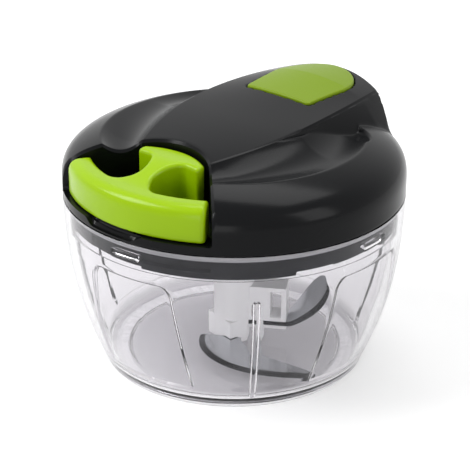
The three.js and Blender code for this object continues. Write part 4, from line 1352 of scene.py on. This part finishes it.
    def recess(self, top: Array, sides: Array) -> tuple[Array, Array]:
        """The recess's wall, down from its mouth into a rounded foot, and its floor out to the lip.

        Args:
            top: the grid of the ridge's top, whose first row is the arch.
            sides: the grid of the sides, whose first and last columns are the straight sides.

        Returns:
            The wall's grid and the floor's, which share a row.
        """
        form = self.form
        mouth = np.concatenate([sides[::-1, 0], top[0, -2:0:-1], sides[:, -1]])
        plan, high = mouth[:, :2], mouth[:, 2]
        step = np.gradient(plan, axis=0)
        normal = unit(np.stack([-step[:, 1], step[:, 0]], axis=1))
        inwards = np.array(self.recess_middle) - plan
        normal *= np.sign(np.einsum("ij,ij->i", inwards, normal))[:, None]
        room = (high - form.lip_top) * self.floor_share
        rounding = np.minimum(self.floor_round, np.maximum(room, self.floor_least))
        turn = np.linspace(0.0, QUARTER, self.foot_rows)[1:, None]
        upright = np.linspace(0.0, 1.0, self.wall_rows)[:, None]
        fall = (form.lip_top + rounding - high) * upright
        wall = lifted(np.broadcast_to(plan, (self.wall_rows, *plan.shape)), high + fall)
        base = plan + normal * (rounding * (1.0 - np.cos(turn)))[..., None]
        wall = np.concatenate([wall, lifted(base, form.lip_top + rounding * (1.0 - np.sin(turn)))])
        share = np.linspace(0.0, 1.0, len(mouth))
        rim = np.stack(polar(form.rim, math.radians(form.recess_mouth) * (1.0 - 2.0 * share)), axis=1)
        rim[0], rim[-1] = plan[0], plan[-1]
        out = 1.0 - (1.0 - np.linspace(0.0, 1.0, self.floor_rows)[:, None, None]) ** self.floor_spread
        flat = base[-1] + (rim - base[-1]) * out
        floor = lifted(flat, self.floor_height(flat))
        floor[0, :, 2] = wall[-1, :, 2]
        return wall, floor

    def band(self, sides: Array, floor: Array) -> Array:
        """The upright side under the rim all the way round, its lower edge, and a strip of the inner wall.

        Args:
            sides: the grid of the sides, whose last row is the rim.
            floor: the grid of the floor, whose last row is the lip.

        Returns:
            The grid, rows from the rim down and in.
        """
        form = self.form
        ring = np.concatenate([sides[-1], floor[-1, ::-1]])
        turn = np.linspace(0.0, QUARTER, self.edge_rows)
        edge, inner, upright = self.edge, form.rim - self.wall, self.side_rows
        radius = np.concatenate([
            np.full(upright, form.rim), form.rim - edge + edge * np.cos(turn)[1:],
            inner + edge - edge * np.sin(turn), [inner, inner],
        ])
        height = form.bottom + np.concatenate([
            np.full(upright, edge), edge - edge * np.sin(turn)[1:],
            edge - edge * np.cos(turn), self.inner_heights,
        ])
        drop = np.concatenate([np.linspace(0.0, 1.0, upright), np.ones(len(height) - upright)])
        z = ring[:, 2] + (height[:, None] - ring[:, 2]) * drop[:, None]
        return lifted(unit(ring[:, :2]) * radius[:, None, None], z)

    def build(self) -> None:
        """Makes the cover of its grids, which share their edges."""
        top = self.ridge_top()
        sides = self.sides(top)
        wall, floor = self.recess(top, sides)
        band = Sheet(self.band(sides, floor), closed=True)
        sheets = [Sheet(top), Sheet(sides), Sheet(wall, turned=True), Sheet(floor, turned=True), band]
        build("cover_shell", sheets, Finish.LID, "lid", "upper_cover")


@dataclass
class Handle:
    """The green pull handle: a plate at the recess's back, a waisted stem and a curved bar along the rim."""

    form: LidForm
    bottom: float = sized("pull_handle", 0, 2)
    plate_top: float = sized("pull_handle", 1, 2)
    front: float = sized("pull_handle", 0, 1)
    knot: float = middle_of("cord_knot")
    cord_height: float = sized("pull_cord", 0, 2, CORD_RADIUS)
    plate_half: float = 15.2
    plate_depth: float = 9.5
    plate_rounds: Pair = (0.8, 1.0)
    gap: float = 1.2
    bar_drop: float = 4.5
    drop_past: float = 1.0
    bar_depth: float = 9.3
    bar_turn: float = 33.5
    bar_round: float = 5.0
    bar_corners: Pair = (1.0, 2.2)
    stem_half: float = 3.8
    stem_flare: float = 5.5
    bar_flare: float = 10.0
    stem_rear: float = -34.0
    stem_front: float = -55.8
    fillet: float = 1.5
    edge: float = 0.7
    top_edge: float = 1.5
    pocket: float = 3.2
    pocket_edge: float = 0.3
    bore: float = 1.3
    bore_edge: float = 0.2
    box_share: float = 0.62
    step: float = 0.5

    def plate(self, x: Array, y: Array) -> Array:
        """Plan field of the plate: the recess's arch less a gap, cut by a straight front and two sides.

        Args:
            x: places across the handle's line.
            y: places along it.

        Returns:
            The field, negative inside.
        """
        radius, middle = self.form.arch
        behind = np.hypot(x, y - middle) - (radius - self.gap)
        front = self.form.recess_back - self.plate_depth - y
        first, second = self.plate_rounds
        return rounded_cut(rounded_cut(behind, front, first), np.abs(x) - self.plate_half, second)

    def stem(self, x: Array, y: Array) -> Array:
        """Plan field of the stem: its half width grows with the square of the distance from its waist.

        Args:
            x: places across the handle's line.
            y: places along it.

        Returns:
            The field, negative inside.
        """
        waist = (self.stem_rear + self.stem_front) / 2.0
        flare = np.where(y > waist, self.stem_flare, self.bar_flare)
        share = (y - waist) / (self.stem_rear - waist)
        lean = 2.0 * flare * share / (self.stem_rear - waist)
        side = (np.abs(x) - self.stem_half - flare * share**2) / np.hypot(1.0, lean)
        return np.maximum(side, np.maximum(y - self.stem_rear, self.stem_front - y))

    def solid(self, at: Array) -> Array:
        """Field of the whole handle: the plan shapes joined, under one top that falls to the bar.

        Args:
            at: points, shape (..., 3).

        Returns:
            The field, negative inside.
        """
        x, y, z = at[..., 0], at[..., 1], at[..., 2]
        reach, outer = np.hypot(x, y), -self.front
        inner = outer - self.bar_depth
        turn = np.arctan2(np.abs(x), -y) - math.radians(self.bar_turn)
        bar = rounded_cut(inner - reach, turn * reach, self.bar_corners[0])
        bar = rounded_cut(bar, reach - outer, self.bar_corners[1])
        plan = filleted_join(filleted_join(self.plate(x, y), self.stem(x, y), self.fillet), bar, self.fillet)
        drop = rising(reach, self.drop_past - self.stem_rear, inner + self.drop_past)
        top = z - self.plate_top + self.bar_drop * drop
        body = rounded_cut(plan, rounded_cut(reach - outer, top, self.bar_round), self.top_edge)
        body = rounded_cut(body, self.bottom - z, self.edge)
        box = np.maximum(np.abs(x), np.abs(y - self.knot)) - self.pocket
        pocket = np.maximum(box, z - self.cord_height - self.pocket)
        bore = np.maximum(np.hypot(x, z - self.cord_height) - self.bore, self.knot - y)
        return rounded_cut(rounded_cut(body, -pocket, self.pocket_edge), -bore, self.bore_edge)

    def build(self) -> None:
        """Wraps the solid and dresses it."""
        half = -self.front * self.box_share
        low = np.array([-half, self.front, self.bottom])
        high = np.array([half, self.form.recess_back, self.plate_top])
        obj = quad_object("handle_moulded", *skinned(self.solid, low, high, self.step))
        sealed(obj.data, WELD / 2.0)
        dressed(obj, Finish.GREEN, "handle", ("pull_handle",))


@dataclass
class Bowl:
    """The clear bowl: a swelling wall with pads, ribs and bayonet lugs inside, a foot ring and a boss."""

    height: float = sized("bowl", 1, 2)
    rim: float = sized("bowl", 1, 0)
    rim_drops: Pair = (0.6, 0.8)
    rim_rounds: Pair = (0.9, 0.5)
    base: float = 50.5
    swell: float = 2.29
    wall: float = 2.2
    foot: float = 1.2
    foot_inset: float = 8.5
    foot_top: float = 3.0
    foot_edge: float = 1.3
    foot_side: Pair = (0.6, 0.3)
    foot_rounds: tuple[float, ...] = (0.6, 0.6, 0.8, 1.2)
    floor: float = 3.4
    fillet: float = 6.0
    ledge: float = 10.0
    ledge_depth: float = 1.0
    ledge_soft: float = 0.25
    boss: float = 4.6
    boss_top: float = 10.6
    boss_taper: float = 0.8
    boss_rounds: tuple[float, ...] = (0.6, 0.5, 0.3, 0.0)
    bore: float = 2.3
    bore_bottom: float = 2.3
    pattern: float = 5.0
    lug_low: float = 60.8
    lug_high: float = 63.1
    lug_half: float = 5.5
    lug_reach: float = 2.3
    lug_room: float = 1.0
    lug_edge: float = 0.3
    lug_past: float = 0.02
    pad_low: float = 9.0
    pad_high: float = 53.0
    pad_base: float = 21.0
    pad_top: float = 16.0
    pad_corner: float = 5.0
    pad_corner_share: float = 0.93
    pad_depth: float = 0.8
    pad_soft: float = 0.75
    pad_side: Pair = (18.0, 19.0)
    pad_foot: float = 0.3
    pad_end: Pair = (0.5, 0.05)
    rib_place: float = 45.0
    rib_start: float = 42.0
    rib_low: float = 4.4
    rib_high: float = 49.0
    rib_half: float = 1.0
    rib_end: float = 0.8
    rib_end_start: float = 0.2
    corner_start: float = 0.35
    margin: float = 0.1
    soft: float = 0.35
    column_step: float = 1.7
    row_step: float = 1.6
    wall_rows: int = 34
    side_columns: int = 7
    step_rows: int = 5
    turn_rows: int = 9

    def outer(self, z: Array | float) -> Array:
        """Radius of the outside at a height: base plus the swell times one less (1 - z/height) to a power."""
        return self.base + (self.rim - self.base) * (1.0 - (1.0 - z / self.height) ** self.swell)

    def columns(self) -> Array:
        """Pattern places over a whole turn, 0 at a pad's middle and 45 at a rib's, close at their edges.

        Returns:
            The places, in degrees.
        """
        edge = self.rib_place - self.rib_half
        lug = np.linspace(self.lug_half - self.soft, self.lug_half + self.soft, self.step_rows)
        rib = np.linspace(edge - self.soft, edge + self.soft, self.step_rows)
        side = np.linspace(*self.pad_side, self.side_columns)
        eighth = stepped([0.0, *lug, *side, *rib, self.rib_place], self.column_step)
        quarter = np.concatenate([eighth, 90.0 - eighth[-2:0:-1]])
        return np.concatenate([quarter + 90.0 * k for k in range(4)])

    def angles(self, place: Array, z: Array) -> Array:
        """Angle of each pattern place at each height: the pad's side keeps its place at any height.

        Args:
            place: the pattern's places, in degrees.
            z: the heights.

        Returns:
            The angles in degrees, rows by height.
        """
        share = np.clip((z - self.pad_low) / (self.pad_high - self.pad_low), 0.0, 1.0)
        half = self.pad_base + (self.pad_top - self.pad_base) * share
        over = np.clip(z - (self.pad_high - self.pad_corner), 0.0, self.pad_corner)
        half = half - (self.pad_corner - np.sqrt(self.pad_corner**2 - over**2)) * self.pad_corner_share
        sign = np.where((place + 45.0) % 90.0 < 45.0, -1.0, 1.0)
        base = np.floor((place + 45.0) / 90.0) * 90.0
        start, end = [0.0, self.lug_half + self.lug_room], [self.rib_start, self.rib_place]
        knots = [*start, *self.pad_side, *end]
        sides = [[*start, a, a + 2.0 * self.pad_soft, *end] for a in half - self.pad_soft]
        return base + sign * np.stack([np.interp(folded(place), knots, side) for side in sides])

    def relief(self, place: Array, z: Array) -> Array:
        """How far the inside stands in from the plain wall: pads, ribs and lugs, each a soft edged step.

        Args:
            place: the pattern's places, in degrees.
            z: the heights.

        Returns:
            The depths, rows by height.
        """
        fold = folded(place)[None]
        z = z[:, None]
        pad = rising(z, self.pad_low - self.pad_foot, self.pad_low + self.pad_foot)
        pad = pad * falling(fold, *self.pad_side)
        pad = pad * falling(z, self.pad_high - self.pad_end[0], self.pad_high + self.pad_end[1])
        edge = self.rib_place - self.rib_half
        rib = rising(fold, edge - self.soft, edge + self.soft)
        rib = rib * falling(z, self.rib_high - self.rib_end, self.rib_high)
        rib = rib * rising(z, self.rib_low, self.rib_low + self.rib_end)
        lug = falling(fold, self.lug_half - self.soft, self.lug_half + self.soft)
        lug = lug * rising(z, self.lug_low - self.lug_past, self.lug_low + self.lug_edge)
        lug = lug * falling(z, self.lug_high - self.lug_edge, self.lug_high + self.lug_past)
        return self.pad_depth * np.maximum(pad, rib) + self.lug_reach * lug

    def heights(self) -> Array:
        """Heights down the inside, from under the rim to the floor's fillet, close where a feature ends.

        Returns:
            The heights, from the highest down.
        """
        lug = np.linspace(0.0, self.lug_edge, 4)
        ledge = self.height - self.ledge
        turn = np.linspace(self.corner_start, QUARTER, self.turn_rows)
        margin = self.margin
        marks = np.concatenate([
            [self.height - self.rim_drops[1], self.lug_high + margin, self.lug_low - margin],
            [self.pad_high + margin],
            self.lug_high - lug, self.lug_low + lug, [self.floor + self.fillet],
            np.linspace(ledge + self.ledge_soft, ledge - self.ledge_soft, self.step_rows),
            np.linspace(self.pad_high, self.pad_high - self.pad_end[0], self.step_rows),
            self.pad_high - self.pad_corner * (1.0 - np.cos(turn)),
            np.linspace(self.rib_high - self.rib_end_start, self.rib_high - self.rib_end, 3),
        ])
        return -stepped(np.unique(np.round(-marks, 4)), self.row_step)

    def build(self) -> None:
        """Makes one closed skin: underside, foot, outside, rim, inside, floor, boss and the pin's bore."""
        place = self.columns()
        inset, rim_in = self.base - self.foot_inset, self.rim - self.wall
        rim_out, rim_low = (self.height - drop for drop in self.rim_drops)
        out, up = self.foot_side
        under = path([
            (0.0, self.foot), (inset - self.foot, self.foot), (inset, 0.0), (self.base - self.foot_edge, 0.0),
            (self.base + out, up), (float(self.outer(self.foot_top)), self.foot_top),
        ], self.foot_rounds)
        z_out = np.linspace(self.foot_top, rim_out, self.wall_rows)[1:]
        outside = np.stack([self.outer(z_out), z_out], axis=1)
        rim = path([
            (float(self.outer(rim_out)), rim_out), (self.rim, self.height),
            (rim_in, self.height), (rim_in, rim_low),
        ], self.rim_rounds)[1:]
        z_in = self.heights()
        ledge = self.height - self.ledge
        plain = self.outer(z_in) - self.wall
        plain = plain - self.ledge_depth * falling(z_in, ledge - self.ledge_soft, ledge + self.ledge_soft)
        turn = np.linspace(0.0, QUARTER, self.turn_rows)[1:]
        centre = plain[-1] - self.fillet
        low_z = self.floor + self.fillet * (1.0 - np.sin(turn))
        low = np.stack([centre + self.fillet * np.cos(turn), low_z], axis=1)
        ending = path([
            (centre, self.floor), (self.boss + self.boss_taper, self.floor), (self.boss, self.boss_top),
            (self.bore, self.boss_top), (self.bore, self.bore_bottom), (0.0, self.bore_bottom),
        ], self.boss_rounds)[1:]
        section = np.concatenate([under, outside, rim, np.stack([plain, z_in], axis=1), low, ending])
        first = len(under) + len(outside) + len(rim)
        upright = np.concatenate([np.ones(len(z_in)), np.cos(turn)])[:, None]
        inside = slice(first, first + len(upright))
        radius = np.repeat(section[:, :1], len(place), axis=1)
        radius[inside] -= self.relief(place, section[inside, 1]) * upright
        x, y = polar(radius, np.radians(self.pattern + self.angles(place, section[:, 1])))
        points = np.stack([x, y, np.broadcast_to(section[:, 1:], x.shape)], axis=-1)
        build("bowl_moulded", [Sheet(points, closed=True)], Finish.CLEAR, "bowl", "bowl")


@dataclass(frozen=True)
class Blade:
    """One ground blade: where it stands, how it runs out and rises, and how its width changes."""

    node: str
    turn: float
    reach: float
    width: float
    raised: bool
    sweep: float
    root: float = 8.4
    curl: float = 0.66
    taper: float = 0.86
    taper_power: float = 2.5
    bend: float = 0.47
    rise: float = 14.0
    rise_power: float = 1.15
    twist: float = -0.7
    belly: float = 0.12
    round_share: float = 0.8
    round_power: int = 6
    thick: float = 0.9
    edge: float = 0.225
    bevel: float = 2.2
    bevel_step: float = 0.07
    rows: int = 72
    rows_power: float = 1.2
    across: int = 6
    probe: float = 0.02

    def line(self, share: Array) -> Array:
        """Plan places along the blade's middle: a sickle's curl, or straight to the bend and then swept.

        Args:
            share: shares of the blade's length.

        Returns:
            The places, shape (n, 2).
        """
        swept = (1.0 + self.curl) * share - self.curl * share**2
        angle = np.maximum(0.0, share - self.bend) if self.raised else swept
        turn = np.radians(self.turn + self.sweep * angle)
        return np.stack(polar(self.root + (self.reach - self.root) * share, turn), axis=-1)

    def halves(self, share: Array, out: Array) -> Array:
        """Half the width: it narrows to the sickle's tip, or swells a little to a raised blade's round end.

        Args:
            share: shares of the blade's length.
            out: shares of the raised wing's length.

        Returns:
            Half the width at each share.
        """
        if not self.raised:
            return self.width / 2.0 * (1.0 - self.taper * share**self.taper_power)
        swelling = 1.0 + self.belly * np.sin(math.pi * out)
        return self.width / 2.0 * swelling * np.sqrt(1.0 - self.round_share * out**self.round_power)

    def build(self) -> None:
        """Carries the section along the line: a flat back, and a bevel that is marked as ground."""
        share = 1.0 - np.linspace(1.0, 0.0, self.rows) ** self.rows_power
        out = np.maximum(0.0, share - self.bend) / (1.0 - self.bend) * self.raised
        middle = self.line(share)
        way = unit(self.line(share + self.probe) - self.line(share - self.probe))
        half = self.halves(share, out)[:, None]
        flat = half - self.bevel
        slope = (self.thick - self.edge) / self.bevel * self.bevel_step
        inner = np.linspace(0.0, 1.0, self.across)
        top = (flat - self.bevel_step) * (1.0 - inner) - half * inner
        under = -half * (1.0 - inner) + half * inner
        offset = np.concatenate([half, flat + self.bevel_step, top, under], axis=1)
        level = np.repeat([self.thick, 0.0], self.across)
        up = np.concatenate([[self.edge, self.thick - slope], level])
        lift = corner(self.node, 0, 2) + self.rise * out[:, None] ** self.rise_power
        lift = lift + self.twist * out[:, None] * offset
        x, y = middle[:, :1] + way[:, 1:] * offset, middle[:, 1:] - way[:, :1] * offset
        points = np.stack([x, y, lift + up], axis=-1)
        first, last = (np.broadcast_to(row.mean(axis=0), (1, *row.shape)) for row in (points[0], points[-1]))
        points = np.concatenate([first, points, last])
        # the bevel's ground mark, where the steel's painted shade goes
        ground = np.tile(np.concatenate([[1.0, 1.0], np.zeros_like(level)]), len(points))
        obj = quad_object(self.node + "_ground", points.reshape(-1, 3), Sheet(points, closed=True).faces())
        layer = obj.data.attributes.new("ground", "FLOAT", "POINT")
        layer.data.foreach_set("value", ground.astype(np.float32))
        sealed(obj.data, WELD / 2.0)
        dressed(obj, Finish.BLADE, "blades", (self.node,))


BLADES: tuple[Blade, ...] = (
    Blade("blade_lower", 4.0, 46.96, 16.4, False, 77.0),
    Blade("blade_middle", 124.0, 36.5, 11.0, True, 14.0),
    Blade("blade_upper", 244.0, 36.5, 11.0, True, 14.0),
)


@dataclass
class LidBase:
    """The lid's base: a plate with a collar, and a skirt with bayonet grooves and notches."""

    top: float = sized("lid_base", 1, 2)
    low: float = sized("lid_base", 0, 2)
    reach: float = sized("lid_base", 1, 0)
    skirt: float = 61.6
    skirt_wall: float = 3.4
    skirt_rise: float = 5.5
    skirt_rows: tuple[float, ...] = (0.0, 0.25, 1.0, 2.45, 2.6, 3.2, 5.35, 5.5)
    skirt_edge: float = 0.25
    plate: float = 2.2
    seal_floor: float = 60.2
    seal_low: float = 64.7
    groove: float = 1.5
    groove_top: float = 63.4
    track_low: float = 60.5
    entry: Pair = (-12.0, 11.0)
    track: Pair = (-12.0, 35.1)
    notch: Pair = (-27.0, -12.0)
    notch_rise: float = 1.3
    collar: Pair = (13.2, 15.8)
    collar_drop: float = 5.0
    rounds: tuple[float, ...] = (1.2, 0.8, 0.3, 0.3, 0.3, 0.3, 0.3, 0.2, 0.2, 0.3)
    ramp: Pair = (0.1, 0.05)
    soft: float = 0.12
    column_step: float = 1.5
    row_step: float = 1.2

    def span(self, angle: Array, ends: Pair) -> Array:
        """1 between two angles of the pattern that repeats each quarter turn, 0 elsewhere.

        Args:
            angle: angles in degrees.
            ends: the two angles.

        Returns:
            The values, from 0 to 1.
        """
        middle, half = (ends[0] + ends[1]) / 2.0, (ends[1] - ends[0]) / 2.0
        return falling(folded(angle - middle), half - self.soft, half + self.soft)

    def build(self) -> None:
        """Makes one closed ring of the section, its skirt shaped by angle."""
        ends = sorted({e % 90.0 for e in (*self.entry, *self.track, *self.notch)})
        marks = [m for e in ends for m in (e - self.soft, e, e + self.soft)]
        quarter = stepped([*marks, marks[0] + 90.0], self.column_step)[:-1]
        angle = np.concatenate([quarter + 90.0 * k for k in range(4)])
        under, drop = self.top - self.plate, self.top - self.plate - self.collar_drop
        inner = self.skirt - self.skirt_wall
        notched = self.notch_rise * self.span(angle, self.notch)
        entry, track = self.span(angle, self.entry), self.span(angle, self.track)
        rows = stepped(self.skirt_rows, self.row_step)[::-1]
        z = self.low + notched + rows[:, None] * (1.0 - notched / self.skirt_rise)
        more, less = self.ramp
        grooved = falling(z, self.groove_top - more, self.groove_top + less)
        deep = np.maximum(entry, track * rising(z, self.track_low - less, self.track_low + more))
        radius = self.skirt - self.groove * grooved * deep
        radius[-1] -= self.skirt_edge
        floor = np.stack([np.full_like(angle, inner + self.skirt_edge), self.low + notched], axis=-1)
        wall = np.stack([np.full_like(angle, inner), self.low + notched + self.skirt_edge], axis=-1)
        inside = path([
            (inner, self.groove_top), (inner, under), (self.collar[1], under), (self.collar[1], drop),
            (self.collar[0], drop), (self.collar[0], self.top), (self.reach, self.top), (self.reach, under),
            (self.seal_floor, under), (self.seal_floor, self.seal_low), (self.skirt, self.seal_low),
            (self.skirt, self.groove_top),
        ], self.rounds)
        outside = np.stack([radius, z], axis=-1)
        inside = np.broadcast_to(inside[:, None], (len(inside), len(angle), 2))
        section = np.concatenate([outside, floor[None], wall[None], inside, outside[:1]])
        x, y = polar(section[..., 0], np.radians(angle))
        points = np.stack([x, y, section[..., 1]], axis=-1)
        build("lid_base_moulded", [Sheet(points, closed=True, turned=True)], Finish.BASE, "lid", "lid_base")


@dataclass
class Seal:
    """The soft ring between the lid and the bowl, with two low lips on its outer face."""

    low: float = sized("lid_seal_ring", 0, 2)
    high: float = sized("lid_seal_ring", 1, 2)
    outer: float = sized("lid_seal_ring", 1, 0)
    inner: float = 60.5
    dent: float = 0.5
    rounds: tuple[float, ...] = (0.3, 0.35, 0.3, 0.35, 0.3)
    around: int = 180

    def build(self) -> None:
        """Makes the ring: a rounded section with a groove between its lips."""
        middle = (self.low + self.high) / 2.0
        line = path([
            (self.inner, middle), (self.inner, self.low), (self.outer, self.low),
            (self.outer - self.dent, middle),
            (self.outer, self.high), (self.inner, self.high), (self.inner, middle),
        ], self.rounds)
        x, y = polar(line[:, :1], np.linspace(0.0, TURN, self.around + 1)[None, :-1])
        points = np.stack([x, y, np.broadcast_to(line[:, 1:], x.shape)], axis=-1)
        build("seal_moulded", [Sheet(points, closed=True)], Finish.SILICONE, "seal", "lid_seal_ring")


@dataclass
class Cord:
    """The pull cord from the spool through the eyelet to the handle's knot."""

    radius: float = CORD_RADIUS
    height: float = sized("pull_cord", 0, 2, CORD_RADIUS)
    rear: float = sized("pull_cord", 1, 1)
    knot: float = middle_of("cord_knot")
    arm: float = 17.0
    hinge: float = 1.3
    bend: float = 2.6
    blend_start: float = 1.4
    blend_end: float = 2.8
    around: int = 16
    straight_rows: int = 12
    bend_rows: int = 9
    knot_rows: int = 26

    def build(self) -> None:
        """Sweeps a round section along a straight run, a short bend at the eyelet and the way to the knot."""
        turn_y = self.rear + self.hinge
        start = polar(self.arm, math.acos(self.arm / abs(turn_y)))
        line = path([start, (0.0, turn_y), (0.0, self.knot)], [self.bend], self.bend_rows)
        leaving = np.linspace(line[0], line[1], self.straight_rows)[:-1]
        ending = np.linspace(line[-2], line[-1], self.knot_rows)[1:]
        line = np.concatenate([leaving, line[1:-1], ending])
        way = unit(np.gradient(line, axis=0))
        side = np.stack([-way[:, 1], way[:, 0]], axis=1)
        line, side = (np.concatenate([row[:1], row, row[-1:]]) for row in (line, side))
        turn = np.linspace(0.0, TURN, self.around + 1)[:-1]
        thick = self.radius * np.concatenate([[0.0], np.ones(len(line) - 2), [0.0]])[:, None]
        offset = thick * np.cos(turn)
        x, y = line[:, :1] + side[:, :1] * offset, line[:, 1:] + side[:, 1:] * offset
        points = np.stack([x, y, self.height + thick * np.sin(turn)], axis=-1)
        nodes = ("cord_run", "pull_cord")
        cord = build("cord_run_braided", [Sheet(points, closed=True)], Finish.CORD, "", *nodes)
        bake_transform(cord)


def main() -> None:
    """Builds the studio, the finishes and the sub-assemblies in order."""
    logging.basicConfig(level=logging.INFO, format="%(name)s: %(message)s")
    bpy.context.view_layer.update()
    Studio().build()
    for finish, look in FINISHES.items():
        MATERIALS[finish] = look.make()
    for row in WORKS:
        refined(*row)
    form = LidForm()
    plate = TopPlate(form)
    for piece in (plate, Cover(form, plate), Handle(form), Bowl(), *BLADES, LidBase(), Seal(), Cord()):
        piece.build()


if __name__ == "__main__":
    main()
